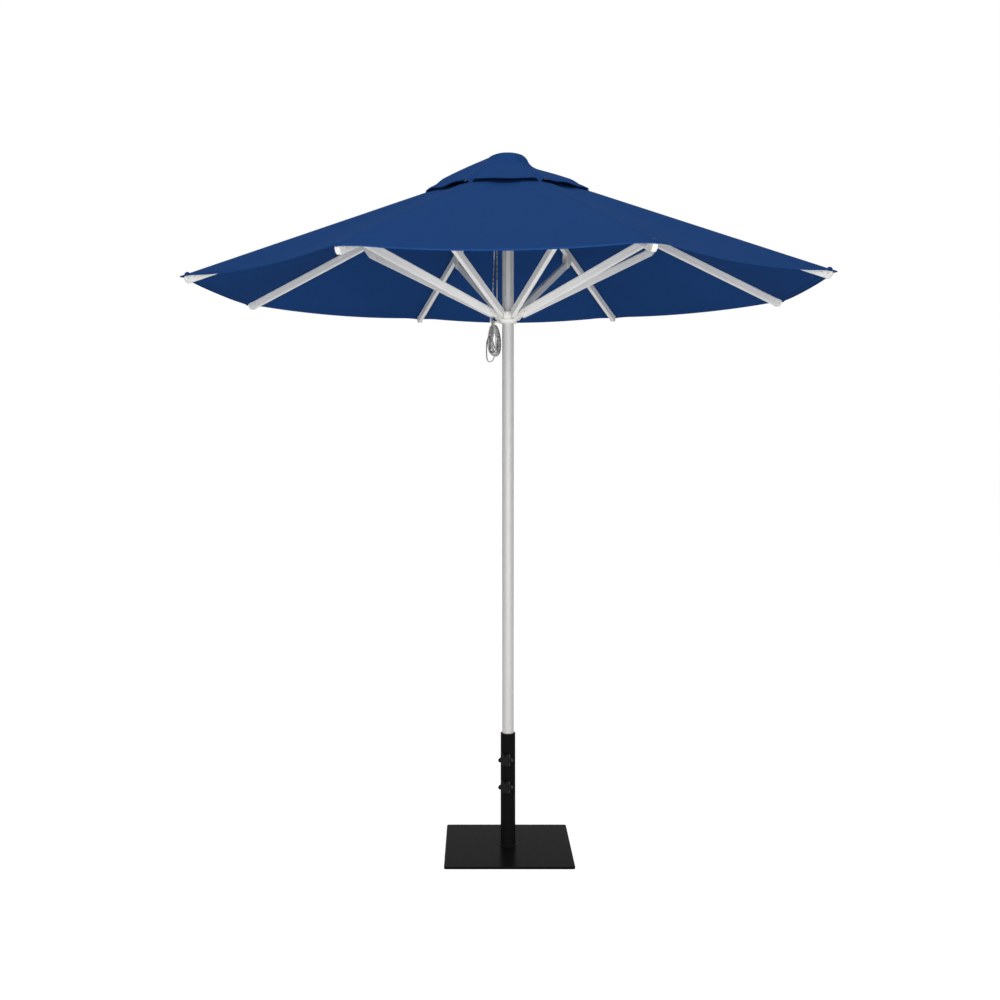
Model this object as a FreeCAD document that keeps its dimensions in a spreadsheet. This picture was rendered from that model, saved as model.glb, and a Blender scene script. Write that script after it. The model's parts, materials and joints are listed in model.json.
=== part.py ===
import FreeCAD, Part
import math
import os
import Sketcher
from FreeCAD import Vector

# Market umbrella with eight ribs, a rope lift and a steel plate base. Millimetres, +Z up.
# The origin is the middle of the plate's underside. Azimuths turn about +Z from +X.

RIBS = 8
STEP = 360 / RIBS

SIZES = [
    # steel base
    ("plate_side", 508, "square base plate, edge length"),
    ("plate_thick", 9.5, "base plate thickness"),
    ("plate_corner", 8, "radius of the plate's upright corners"),
    ("plate_edge", 1.2, "chamfer round the plate's top edge"),
    ("stem_outer", 60.3, "stem tube outside diameter"),
    ("stem_wall", 3.9, "stem tube wall"),
    ("stem_length", 457, "stem tube length above the plate"),
    ("stem_mouth", 1.2, "chamfer at the stem's mouth"),
    ("weld_leg", 6, "leg of the fillet weld at the stem's foot"),
    ("knob_high", 368, "height of the upper knob above the floor"),
    ("knob_low", 259, "height of the lower knob above the floor"),
    ("knob_azimuth", -102, "direction that both knobs point in"),
    ("nut_across", 24, "clamp nut, across the flats"),
    ("nut_reach", 12, "clamp nut, from the stem's surface to its face"),
    ("stud_dia", 12, "clamp stud diameter"),
    ("stud_tail", 22, "length of stud held inside the knob"),
    ("knob_core", 40, "diameter of the knob's round middle"),
    ("knob_lobe", 17, "diameter of each of the knob's lobes"),
    ("knob_lobes", 6, "number of lobes"),
    ("knob_thick", 17, "thickness of the knob's lobed head"),
    ("knob_neck", 7, "length of the knob's neck"),
    ("knob_neck_dia", 26, "diameter of the knob's neck"),
    ("knob_edge", 2.5, "chamfer round the knob's head"),
    # mast
    ("pole_outer", 48, "pole outside diameter"),
    ("pole_wall", 2, "pole wall"),
    ("foot_flange", 3, "flange of the plug in the pole's foot"),
    ("foot_plug", 30, "length of the plug inside the pole"),
    ("strip_height", 2239, "height where the two grooves of the pole's upper part begin"),
    ("strip_width", 24, "distance between the two grooves"),
    ("strip_groove", 1.8, "width of each groove"),
    ("strip_depth", 0.8, "depth of each groove"),
    # hub and runner share the pivot circle
    ("pivot_radius", 42, "radius of the circle that the rib and strut pins lie on"),
    ("pin_dia", 6, "pins in the hub and the runner"),
    ("pin_hold", 5.5, "how far each pin goes into the wall on each side of its slot"),
    ("slot_root", 30, "radius where the slots begin"),
    ("hub_radius", 56, "top hub outside radius"),
    ("hub_below", 18, "top hub, from the pins down to its underside"),
    ("hub_slot_top", 11, "top hub, from the pins up to the slots' roof"),
    ("hub_roof", 9, "thickness of the top hub above the slots"),
    ("runner_radius", 52, "runner outside radius"),
    ("runner_above", 19, "runner, from the pins up to its top"),
    ("runner_below", 16, "runner, from the pins down to its shoulder"),
    ("runner_slot_floor", 13, "runner, from the pins down to the slots' floor"),
    ("runner_slack", 0.5, "radial clearance of the runner on the pole"),
    ("collar_radius", 36, "runner's lower collar, outside radius"),
    ("collar_length", 13, "runner's lower collar, length"),
    ("collar_edge", 2, "rounding of the collar and the runner's shoulder"),
    # ribs and struts
    ("rib_width", 18, "rib and strut tube, width"),
    ("rib_depth", 32, "rib and strut tube, depth"),
    ("rib_wall", 1.5, "rib and strut tube, wall"),
    ("rib_corner", 2.5, "rib and strut tube, corner chamfer"),
    ("rib_groove", 1.6, "half height of the groove along the tube's side"),
    ("rib_groove_depth", 0.9, "depth of the groove along the tube's side"),
    ("rib_start", 60, "from the hub pin to the rib tube's end"),
    ("rib_reach", 1290, "radius that the rib's tip reaches"),
    ("tip_length", 24, "length of the rib's tip cap"),
    ("tongue_thick", 12, "thickness of the tongues in the hub's and runner's slots"),
    ("eye_radius", 10, "radius round the pins of the tongues"),
    ("plug_length", 30, "length of each plug inside its tube"),
    ("arm_reach", 598, "from the hub pin to the strut pin, outwards"),
    ("strut_gap", 17.5, "between the bracket under the rib and the strut's round nose"),
    ("strut_start", 24, "from the runner pin to the strut tube's end"),
    ("nose_length", 18, "from the strut pin to the strut tube's upper end"),
    ("bracket_wall", 3, "sheet of the strut bracket"),
    ("bracket_half", 26, "half length of the bracket along the rib"),
    ("bracket_rise", 5, "how far the bracket rises above the rib's middle"),
    ("bracket_eye", 16, "radius of the bracket round its pin"),
    ("bracket_pin", 8, "diameter of the bracket's pin"),
    ("bracket_head", 14, "diameter of the pin's heads"),
    ("bracket_head_height", 2.4, "height of the pin's heads"),
    # canopy
    ("canopy_radius", 1300, "canopy, centre to corner"),
    ("canopy_turn", -3.4, "turn of the whole canopy about the pole"),
    ("rim_height", 2269, "height of the canopy's corners, top of the cloth"),
    ("ridge_slope", 0.392, "fall of the ridges per unit of radius"),
    ("cloth_thick", 1.2, "cloth thickness"),
    ("rib_top_gap", 2, "from the cloth's underside to the rib"),
    ("hem_depth", 12, "depth of the folded hem"),
    ("hem_sag", 9, "droop of the hem between two ribs"),
    ("vent_radius", 270, "opening under the vent cap, centre to corner"),
    ("cap_radius", 350, "vent cap, centre to corner"),
    ("cap_rim_height", 2649, "height of the vent cap's corners"),
    ("cap_inner", 84, "radius where the vent cap meets the crown cover"),
    ("cap_inner_rise", 0.5, "from the crown former's shoulder up to the vent cap's inner edge"),
    ("stitch_near", 6, "stitched corner of the cap, from the cap's corner"),
    ("stitch_length", 8, "length of the stitched corner"),
    ("stitch_half", 10, "half width of the stitched corner"),
    ("crown_radius", 70, "radius of the crown former"),
    ("crown_side", 30, "height of the crown former's side"),
    ("crown_rise", 20, "rise of the crown former's dome"),
    ("crown_skirt", 7, "thickness of the crown former's skirt"),
    # rope lift
    ("rope_dia", 5, "lift rope diameter"),
    ("rope_radius", 45, "radius that the rope falls hang at"),
    ("sheave_pitch", 5.5, "radius of the rope's centre line round the sheave"),
    ("sheave_drop", 12, "from the hub pins down to the sheave's axle"),
    ("sheave_rim", 7.4, "sheave outside radius"),
    ("sheave_width", 6.4, "sheave width"),
    ("sheave_pin", 3, "sheave axle diameter"),
    ("sheave_pin_length", 15, "sheave axle length"),
    ("hook_dia", 7, "rope hook rod diameter"),
    ("hook_reach", 70, "radius of the hook's upturned end"),
    ("hook_tip", 14, "height of the hook's upturned end"),
    ("collar_middle", 7.5, "from the runner's underside up to the hook"),
    ("hank_middle", 55, "radius of the rope hank's middle"),
    ("hank_width", 58, "rope hank width"),
    ("hank_length", 142, "rope hank length"),
    ("hank_thick", 28, "rope hank thickness"),
    ("loop_middle", 69, "radius of the hanging loop's middle"),
    ("loop_width", 40, "hanging loop width"),
    ("loop_length", 70, "hanging loop length"),
    ("loop_thick", 11, "hanging loop thickness"),
    ("loop_drop", 68, "from the hank's middle down to the loop's middle"),
    ("lock_dia", 6, "lock pin diameter"),
    ("lock_rise", 8, "from the strut pins up to the lock pin"),
    ("lock_head", 16, "lock pin head diameter"),
    ("lock_head_length", 6, "lock pin head length"),
    # clearances
    ("clear_gap", 0.3, "between pieces that move past each other"),
    ("run_gap", 0.05, "radial clearance of a pin in its hole"),
    ("seat_gap", 0.1, "between a plug and the tube round it"),
]

doc = FreeCAD.newDocument("patio_umbrella")
sheet = doc.addObject("Spreadsheet::Sheet", "Sizes")
for row, (alias, value, note) in enumerate(SIZES, start=1):
    sheet.set(f"A{row}", alias)
    sheet.set(f"B{row}", str(value))
    sheet.set(f"C{row}", note)
    sheet.setAlias(f"B{row}", alias)
doc.recompute()


def size(alias):
    """The number in the sheet's cell of that name."""
    return float(sheet.get(alias))


def fill(text):
    """Puts Sizes. before each cell's name, so that expressions read like plain formulas."""
    words = {alias for alias, _, _ in SIZES}
    out, word = "", ""
    for letter in text + " ":
        if letter.isalnum() or letter == "_":
            word += letter
        else:
            out += ("Sizes." if word in words else "") + word + letter
            word = ""
    return out.strip()


def value_of(text):
    """The number that a formula of sizes gives."""
    return float(sheet.evalExpression(fill(text)))


# Formulas that several pieces share
RIB_ANGLE = "atan(ridge_slope)"
STRUT_HANG = "(rib_depth + bracket_wall + strut_gap)"
ARM_DROP = f"(arm_reach * ridge_slope + {STRUT_HANG} / cos({RIB_ANGLE}))"
STRUT_ANGLE = f"atan({ARM_DROP} / arm_reach)"
STRUT_LENGTH = f"sqrt(arm_reach * arm_reach + {ARM_DROP} * {ARM_DROP})"


def ridge_height(radius):
    """Formula of the height of the cloth's top on a ridge."""
    return f"(rim_height + ridge_slope * (canopy_radius - {radius}))"


HUB_Z = f"({ridge_height('pivot_radius')} - (cloth_thick + rib_top_gap + rib_depth / 2) / cos({RIB_ANGLE}))"
RUNNER_Z = f"({HUB_Z} - 2 * {ARM_DROP})"
COLLAR_Z = f"({RUNNER_Z} - runner_below - collar_length)"
HOOK_Z = f"({COLLAR_Z} + collar_middle)"
LOCK_Z = f"({RUNNER_Z} + lock_rise)"
POLE_FOOT = "(plate_thick + clear_gap)"
POLE_TOP = f"({HUB_Z} + hub_slot_top)"
CROWN_SHOULDER = f"({POLE_TOP} + hub_roof + crown_skirt + crown_side)"
CAP_INNER_Z = f"({CROWN_SHOULDER} + cap_inner_rise)"
SLOT_WIDTH = "(tongue_thick + 2 * clear_gap)"
ROPE_AZIMUTH = "canopy_turn + 180"
FRONT = "canopy_turn - 90"


# Small helpers for objects bound to the sheet

def bind(obj, **formulas):
    for prop, text in formulas.items():
        obj.setExpression(prop.replace("__", "."), fill(text))
    return obj


def put(obj, x="0", y="0", z="0", axis=(0, 0, 1), angle="0"):
    """Places an object by formulas: turned about an axis through its origin, then moved."""
    turn = f"create(<<rotation>>; create(<<vector>>; {axis[0]}; {axis[1]}; {axis[2]}); {angle})"
    move = f"create(<<vector>>; {x}; {y}; {z})"
    obj.setExpression("Placement", fill(f"create(<<placement>>; {move}; {turn})"))
    return obj


ALONG = {"x": ((0, 1, 0), "90"), "y": ((1, 0, 0), "-90"), "z": ((0, 0, 1), "0")}


def cylinder(name, dia, length, x="0", y="0", z="0", along="z"):
    """A cylinder whose first end's centre is at x, y, z."""
    made = bind(doc.addObject("Part::Cylinder", name), Radius=f"({dia}) / 2", Height=length)
    axis, angle = ALONG[along]
    return put(made, x, y, z, axis, angle)


def block(name, dx, dy, dz, x="0", y="0", z="0"):
    """A box whose middle in X and Y, and whose underside, are at x, y, z."""
    made = bind(doc.addObject("Part::Box", name), Length=dx, Width=dy, Height=dz)
    return put(made, f"{x} - ({dx}) / 2", f"{y} - ({dy}) / 2", z)


def cut(name, base, *tools):
    made = doc.addObject("Part::Cut", name)
    made.Base = base
    made.Tool = tools[0] if len(tools) == 1 else together(name + "_tools", *tools)
    return made


def fuse(name, *parts):
    made = doc.addObject("Part::MultiFuse", name)
    made.Shapes = list(parts)
    made.Refine = True
    return made


def together(name, *parts):
    made = doc.addObject("Part::Compound", name)
    made.Links = list(parts)
    return made


def turned(name, form, azimuth):
    """The form turned about the pole to an azimuth."""
    return put(together(name, form), angle=azimuth)


def rib_azimuth(i):
    """The azimuth of rib i: the first lies to the left of the front panel."""
    return f"canopy_turn - {90 + STEP / 2 - STEP * i}"


def ring(name, form):
    """The form repeated at every rib."""
    return together(name, *[turned(f"{name}_{i + 1}", form, rib_azimuth(i)) for i in range(RIBS)])


def plane(body, role):
    return next(f for f in body.Origin.OriginFeatures if f.Role == role)


def new_body(name):
    return doc.addObject("PartDesign::Body", name)


def sketch(body, role, offset="0"):
    made = body.newObject("Sketcher::SketchObject", body.Name + "_sketch")
    made.AttachmentSupport = (plane(body, role), [""])
    made.MapMode = "FlatFace"
    return bind(made, AttachmentOffset__Base__z=offset)


def add_polygon(made, corners):
    """Closed outline in a sketch, with each corner held by two dimensions from the sheet."""
    places = [(value_of(x), value_of(y)) for x, y in corners]
    first = made.GeometryCount
    for (ax, ay), (bx, by) in zip(places, places[1:] + places[:1]):
        made.addGeometry(Part.LineSegment(Vector(ax, ay, 0), Vector(bx, by, 0)), False)
    for i, (formulas, place) in enumerate(zip(corners, places)):
        after = first + (i + 1) % len(corners)
        made.addConstraint(Sketcher.Constraint("Coincident", first + i, 2, after, 1))
        for kind, formula, number in zip(("DistanceX", "DistanceY"), formulas, place):
            if abs(number) < 1e-9:
                made.addConstraint(Sketcher.Constraint(kind, -1, 1, first + i, 1, 0.0))
                continue
            at = made.addConstraint(Sketcher.Constraint(kind, -1, 1, first + i, 1, number))
            made.setExpression(f"Constraints[{at}]", fill(formula))
    return made


def add_circle(made, dia, x="0", y="0"):
    """Circle in a sketch, with its diameter and centre from the sheet."""
    centre = Vector(value_of(x), value_of(y), 0)
    at = made.addGeometry(Part.Circle(centre, Vector(0, 0, 1), value_of(dia) / 2), False)
    held = made.addConstraint(Sketcher.Constraint("Diameter", at, value_of(dia)))
    made.setExpression(f"Constraints[{held}]", fill(dia))
    for kind, formula in (("DistanceX", x), ("DistanceY", y)):
        number = value_of(formula)
        held = made.addConstraint(Sketcher.Constraint(kind, -1, 1, at, 3, number))
        if abs(number) > 1e-9:
            made.setExpression(f"Constraints[{held}]", fill(formula))
    return made


def pad(body, profile, length, midplane=False):
    made = body.newObject("PartDesign::Pad", body.Name + "_pad")
    made.Profile = profile
    if midplane:
        made.SideType = "Symmetric"
    return bind(made, Length=length)


def revolve(body, corners, role="XZ_Plane", axis="V_Axis"):
    """A profile turned all the way round the sketch's upright axis."""
    made = body.newObject("PartDesign::Revolution", body.Name + "_turned")
    made.Profile = add_polygon(sketch(body, role), corners)
    made.ReferenceAxis = (made.Profile[0], [axis])
    made.Angle = 360
    return made


def edges_where(shape, test):
    """Names of the edges that pass a test."""
    return [f"Edge{i}" for i, edge in enumerate(shape.Edges, start=1) if test(edge)]


def round_edges(body, feature, radius, test, kind="Fillet"):
    """Rounds or chamfers the edges of a body's feature that pass a test."""
    doc.recompute()
    made = body.newObject("PartDesign::" + kind, f"{body.Name}_{kind.lower()}")
    made.Base = (feature, edges_where(feature.Shape, test))
    return bind(made, **{"Radius" if kind == "Fillet" else "Size": radius})


def upright(edge):
    ends = edge.Vertexes
    return len(ends) == 2 and (ends[1].Point - ends[0].Point).getAngle(Vector(0, 0, 1)) % math.pi < 1e-6


def at_height(height):
    """Test for an edge that lies level at a height."""
    def test(edge):
        box = edge.BoundBox
        return abs(box.ZMin - height) < 1e-4 and abs(box.ZMax - height) < 1e-4
    return test


nodes = {}


def node(name, obj):
    """Keeps an object as a sub-part: its label is the name of its node."""
    obj.Label = name
    nodes[name] = obj
    return obj


# Steel base: plate, stem with its weld, two clamp nuts

def make_base():
    plate = new_body("plate")
    outline = sketch(plate, "XY_Plane")
    half = "plate_side / 2"
    add_polygon(outline, [(f"-{half}", f"-{half}"), (half, f"-{half}"), (half, half), (f"-{half}", half)])
    slab = pad(plate, outline, "plate_thick")
    rounded = round_edges(plate, slab, "plate_corner", upright)
    top = size("plate_thick")
    round_edges(plate, rounded, "plate_edge", at_height(top), "Chamfer")
    node("base_plate", plate)

    stem = new_body("stem")
    outer, bore = "stem_outer / 2", "(stem_outer / 2 - stem_wall)"
    foot, mouth = "plate_thick", "(plate_thick + stem_length)"
    tube = revolve(stem, [
        (bore, foot), (f"{outer} + weld_leg", foot), (outer, f"{foot} + weld_leg"),
        (outer, mouth), (bore, mouth),
    ])
    round_edges(stem, tube, "stem_mouth", at_height(size("plate_thick") + size("stem_length")), "Chamfer")
    holes = [
        cylinder(f"stem_hole_{i}", "stud_dia + 2 * seat_gap", "stem_outer", "0", "0", height, "x")
        for i, height in enumerate(("knob_high", "knob_low"))
    ]
    drill = put(together("stem_drill", *holes), angle="knob_azimuth")
    node("base_stem", cut("stem_drilled", stem, drill))


def make_clamp_nuts():
    nut = new_body("nut")
    outline = sketch(nut, "YZ_Plane", "(stem_outer / 2 + clear_gap)")
    reach = "nut_across / 2 / cos(30)"
    add_polygon(outline, [(f"{reach} * cos({60 * k})", f"{reach} * sin({60 * k})") for k in range(6)])
    add_circle(outline, "stud_dia + 2 * run_gap")
    pad(nut, outline, "nut_reach")
    pair = [put(together(f"nut_{i}", nut), z=height) for i, height in enumerate(("knob_high", "knob_low"))]
    node("clamp_nuts", turned("clamp_nut_pair", together("nut_pair", *pair), "knob_azimuth"))


def make_knob(name, height):
    """Lobed knob with its stud moulded in. The stud's nose stops just short of the pole."""
    face = "(stem_outer / 2 + clear_gap + nut_reach + 2 * clear_gap)"
    head = f"({face} + knob_neck)"
    core = new_body(name + "_form")
    outline = sketch(core, "YZ_Plane", face)
    neck = pad(core, add_circle(outline, "knob_neck_dia"), "knob_neck")
    outline = sketch(core, "YZ_Plane", head)
    disc = pad(core, add_circle(outline, "knob_core"), "knob_thick")
    outline = sketch(core, "YZ_Plane", head)
    lobe = pad(core, add_circle(outline, "knob_lobe", "knob_core / 2"), "knob_thick")
    doc.recompute()
    lobes = core.newObject("PartDesign::PolarPattern", name + "_lobes")
    lobes.Originals = [lobe]
    lobes.Axis = (plane(core, "X_Axis"), [""])
    lobes.Angle = 360
    bind(lobes, Occurrences="knob_lobes")
    core.Tip = lobes
    doc.recompute()
    far = value_of(f"{head} + knob_thick")
    round_edges(core, lobes, "knob_edge", lambda e: abs(e.BoundBox.XMin - far) < 1e-4, "Chamfer")
    nose = "(pole_outer / 2 + clear_gap)"
    socket = cylinder(name + "_socket", "stud_dia + 2 * seat_gap", "stud_tail", face, along="x")
    stud = cylinder(name + "_stud", "stud_dia", f"{face} + stud_tail - {nose} - seat_gap", nose, along="x")
    whole = together(name + "_pieces", cut(name + "_drilled", core, socket), stud)
    node(name, turned(name + "_turned", put(together(name + "_raised", whole), z=height), "knob_azimuth"))


# Mast: pole, foot plug, top hub with its pins, crown former

def make_pole():
    tube = new_body("tube")
    outline = sketch(tube, "XY_Plane", f"{POLE_FOOT} + foot_flange")
    add_circle(outline, "pole_outer")
    add_circle(outline, "pole_outer - 2 * pole_wall")
    pad(tube, outline, f"{POLE_TOP} - {POLE_FOOT} - foot_flange")
    grooves = []
    for side in (-1, 1):
        y = f"{side} * strip_width / 2"
        depth = "sqrt(pole_outer * pole_outer / 4 - strip_width * strip_width / 4)"
        grooves.append(block(
            f"groove_{side + 1}", "4 * strip_depth", "strip_groove", f"{POLE_TOP} - strip_height",
            f"{depth} + strip_depth", y, "strip_height",
        ))
    front = turned("grooves_turned", together("grooves", *grooves), FRONT)
    node("pole", cut("pole_grooved", tube, front))

    foot = new_body("foot")
    plug = "(pole_outer / 2 - pole_wall - seat_gap)"
    edge, top = "pole_outer / 2", f"{POLE_FOOT} + foot_flange"
    revolve(foot, [
        ("0", POLE_FOOT), (f"{edge} - foot_flange / 2", POLE_FOOT), (edge, f"{POLE_FOOT} + foot_flange / 2"),
        (edge, top), (plug, top), (plug, f"{top} + foot_plug"), ("0", f"{top} + foot_plug"),
    ])
    node("pole_foot", foot)


def slot_cutter(name, low, high, centre):
    """One slot with its pin hole, at azimuth 0: it runs outwards from the slots' root."""
    reach = "(hub_radius + runner_radius)"
    slot = block(name + "_slot", reach, SLOT_WIDTH, f"{high} - ({low})", f"slot_root + {reach} / 2", "0", low)
    long = f"({SLOT_WIDTH} + 2 * pin_hold)"
    hole = cylinder(
        name + "_hole", "pin_dia + 2 * run_gap", long, "pivot_radius", f"-{long} / 2", centre, "y",
    )
    return ring(name + "_ring", fuse(name, slot, hole))


def make_pins(name, centre):
    """Eight pins, one across each slot."""
    long = f"({SLOT_WIDTH} + 2 * pin_hold - 2 * seat_gap)"
    pin = cylinder(name + "_form", "pin_dia", long, "pivot_radius", f"-{long} / 2", centre, "y")
    node(name, ring(name + "_ring", pin))


def make_top_hub():
    hub = new_body("hub")
    low, roof = f"({HUB_Z} - hub_below)", f"({HUB_Z} + hub_slot_top + hub_roof)"
    bore = "(pole_outer / 2 + seat_gap)"
    revolve(hub, [
        (bore, low), ("hub_radius - hub_roof / 2", low), ("hub_radius", f"{low} + hub_roof / 2"),
        ("hub_radius", f"{roof} - hub_roof / 2"), ("hub_radius - hub_roof / 2", roof), ("0", roof),
        ("0", POLE_TOP), (bore, POLE_TOP),
    ])
    slots = slot_cutter("hub_cutter", f"{low} - 1", f"{HUB_Z} + hub_slot_top", HUB_Z)
    axle = f"({HUB_Z} - sheave_drop)"
    wide = "2 * (sheave_pitch + rope_dia / 2 + 2 * clear_gap)"
    tall = f"({axle} + sheave_pitch + rope_dia / 2 + clear_gap - ({low} - 1))"
    pocket = block(
        "sheave_pocket", "sheave_width + 2 * clear_gap", wide, tall, "rope_radius", "0", f"{low} - 1",
    )
    bore = cylinder(
        "sheave_bore", "sheave_pin + 2 * run_gap", "sheave_pin_length + 2 * seat_gap",
        "rope_radius - sheave_pin_length / 2 - seat_gap", "0", axle, "x",
    )
    rope_side = turned("rope_side_cut", together("rope_side_tools", pocket, bore), ROPE_AZIMUTH)
    node("top_hub", cut("hub_slotted", hub, slots, rope_side))
    make_pins("hub_pins", HUB_Z)


def make_sheave():
    """Grooved wheel on a pin, with its axle pointing away from the pole."""
    axle = f"({HUB_Z} - sheave_drop)"
    wheel = new_body("wheel")
    half, core = "sheave_width / 2", "(sheave_pitch - rope_dia / 2 - clear_gap)"
    mouth = "(rope_dia / 2 + clear_gap)"
    bore = "(sheave_pin / 2 + run_gap)"
    revolve(wheel, [
        (bore, f"-{half}"), ("sheave_rim - 0.5", f"-{half}"), ("sheave_rim", f"-{mouth}"),
        (core, f"-{mouth}"), (core, mouth), ("sheave_rim", mouth), ("sheave_rim - 0.5", half), (bore, half),
    ])
    placed = put(together("wheel_placed", wheel), x="rope_radius", z=axle, axis=(0, 1, 0), angle="90")
    node("pulley_sheave", turned("wheel_turned", placed, ROPE_AZIMUTH))
    inner_end = "rope_radius - sheave_pin_length / 2"
    pin = cylinder("axle", "sheave_pin", "sheave_pin_length", inner_end, "0", axle, "x")
    node("sheave_pin", turned("axle_turned", pin, ROPE_AZIMUTH))


def make_crown():
    """Dome on the hub that carries the middle of the vent cap, and the cloth over it."""
    former = new_body("former")
    base = f"({HUB_Z} + hub_slot_top + hub_roof)"
    rim, shoulder = f"({base} + crown_skirt)", CROWN_SHOULDER
    revolve(former, [
        ("0", base), ("hub_radius - hub_roof", base), ("crown_radius - 2", rim),
        ("crown_radius", f"{rim} + 2"), ("crown_radius", shoulder),
        ("0.86 * crown_radius", f"{shoulder} + 0.45 * crown_rise"),
        ("0.55 * crown_radius", f"{shoulder} + 0.85 * crown_rise"), ("0", f"{shoulder} + crown_rise"),
    ])
    node("crown_former", former)

    cover = new_body("cover")
    gap = "(2 * clear_gap)"
    top = f"({shoulder} + crown_rise + {gap})"
    edge = "(cap_inner * cos(22.5) - 2 * clear_gap)"
    side = f"({shoulder} + {gap})"
    inside = [
        (edge, f"{CAP_INNER_Z} - cloth_thick"), ("crown_radius + clear_gap", side),
        ("0.86 * crown_radius + clear_gap", f"{side} + 0.45 * crown_rise"),
        ("0.55 * crown_radius + clear_gap", f"{side} + 0.85 * crown_rise"), ("0", top),
    ]
    outside = [(x, f"{z} + cloth_thick") for x, z in reversed(inside)]
    revolve(cover, inside + outside)
    node("crown_cover", cover)


# Runner: slotted body with a collar, pins, lock pin and rope hook

def make_runner():
    body = new_body("runner_form")
    bore = "(pole_outer / 2 + runner_slack)"
    shoulder, top = f"({RUNNER_Z} - runner_below)", f"({RUNNER_Z} + runner_above)"
    revolve(body, [
        (bore, COLLAR_Z), ("collar_radius - collar_edge", COLLAR_Z),
        ("collar_radius", f"{COLLAR_Z} + collar_edge"),
        ("collar_radius", f"{shoulder} - collar_edge"), ("collar_radius + collar_edge", shoulder),
        ("runner_radius - 3 * collar_edge", shoulder), ("runner_radius", f"{shoulder} + 3 * collar_edge"),
        ("runner_radius", f"{top} - 2 * collar_edge"), ("runner_radius - 2 * collar_edge", top), (bore, top),
    ])
    slots = slot_cutter("runner_cutter", f"{RUNNER_Z} - runner_slot_floor", f"{top} + 1", RUNNER_Z)
    lock_hole = turned("lock_hole_turned", cylinder(
        "lock_hole", "lock_dia + 2 * run_gap", "runner_radius", "0", "0", LOCK_Z, "x",
    ), FRONT)
    hook_hole = turned("hook_hole_turned", cylinder(
        "hook_hole", "hook_dia + 2 * seat_gap", "collar_radius", "0", "0", HOOK_Z, "x",
    ), ROPE_AZIMUTH)
    node("runner", cut("runner_slotted", body, slots, lock_hole, hook_hole))
    make_pins("runner_pins", RUNNER_Z)


def make_lock_pin():
    """Pull pin in the runner's front. Its nose stops just short of the pole."""
    pin = new_body("lock_form")
    nose, face = "(pole_outer / 2 + clear_gap)", "(runner_radius + clear_gap)"
    shaft, head = "lock_dia / 2", "lock_head / 2"
    far = f"({face} + lock_head_length)"
    revolve(pin, [
        ("0", nose), (f"{shaft} - 1", nose), (shaft, f"{nose} + 1"), (shaft, face), (head, face),
        (head, f"{far} - 2"), (f"{head} - 2", far), ("0", far),
    ])
    placed = put(together("lock_placed", pin), z=LOCK_Z, axis=(0, 1, 0), angle="90")
    node("lock_pin", turned("lock_turned", placed, FRONT))


def make_rope_hook():
    root = "(pole_outer / 2 + runner_slack + seat_gap)"
    rod = cylinder("hook_rod", "hook_dia", f"hook_reach - {root}", root, "0", HOOK_Z, "x")
    bend = bind(doc.addObject("Part::Sphere", "hook_bend"), Radius="hook_dia / 2")
    put(bend, x="hook_reach", z=HOOK_Z)
    tip = cylinder("hook_end", "hook_dia", "hook_tip", "hook_reach", "0", HOOK_Z)
    node("rope_hook", turned("hook_turned", fuse("hook_whole", rod, bend, tip), ROPE_AZIMUTH))


# Ribs and struts: built along +X from their pins, then leant and turned to their azimuths

def tube_outline(body, start):
    """Tube section with chamfered corners and a groove along each side."""
    outline = sketch(body, "YZ_Plane", start)
    w, d, c = "rib_width / 2", "rib_depth / 2", "rib_corner"
    g, e = "rib_groove", "rib_groove_depth"
    quarter = [(f"{w} - {e}", "0"), (w, g), (w, f"{d} - {c}"), (f"{w} - {c}", d)]
    across = [(f"-({x})", z) for x, z in reversed(quarter)]
    below = [(f"-({x})", f"-({z})") for x, z in quarter[1:]]
    back = [(x, f"-({z})") for x, z in reversed(quarter[1:])]
    add_polygon(outline, quarter + across + below + back)
    iw, idp = f"({w} - rib_wall)", f"({d} - rib_wall)"
    return add_polygon(outline, [(iw, f"-{idp}"), (iw, idp), (f"-{iw}", idp), (f"-{iw}", f"-{idp}")])


def make_tube(name, start, length):
    tube = new_body(name)
    pad(tube, tube_outline(tube, start), length)
    return tube


def make_plug(name, start):
    """Block that fills a tube for the plug's length."""
    wide, deep = "rib_width - 2 * (rib_wall + seat_gap)", "rib_depth - 2 * (rib_wall + seat_gap)"
    return block(name, "plug_length", wide, deep, f"{start} + plug_length / 2", "0", f"-({deep}) / 2")


def make_tongue(name, start):
    """Round-ended tongue with a pin hole, and the plug that holds it in its tube."""
    flat = block(name + "_flat", start, "tongue_thick", "2 * eye_radius", f"{start} / 2", "0", "-eye_radius")
    eye = cylinder(name + "_eye", "2 * eye_radius", "tongue_thick", "0", "-tongue_thick / 2", "0", "y")
    plug = make_plug(name + "_plug", start)
    hole = cylinder(name + "_hole", "pin_dia + 2 * run_gap", "rib_width", "0", "-rib_width / 2", "0", "y")
    return cut(name, fuse(name + "_whole", flat, eye, plug), hole)


def leaning(name, form, x, z, angle):
    return put(together(name, form), x=x, z=z, axis=(0, 1, 0), angle=angle)


RIB_END = f"((rib_reach - pivot_radius - rib_depth / 2 * sin({RIB_ANGLE})) / cos({RIB_ANGLE}))"
BRACKET_X = f"(arm_reach / cos({RIB_ANGLE}) + {STRUT_HANG} * ridge_slope)"
BRACKET_Z = f"(-{STRUT_HANG})"


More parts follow.
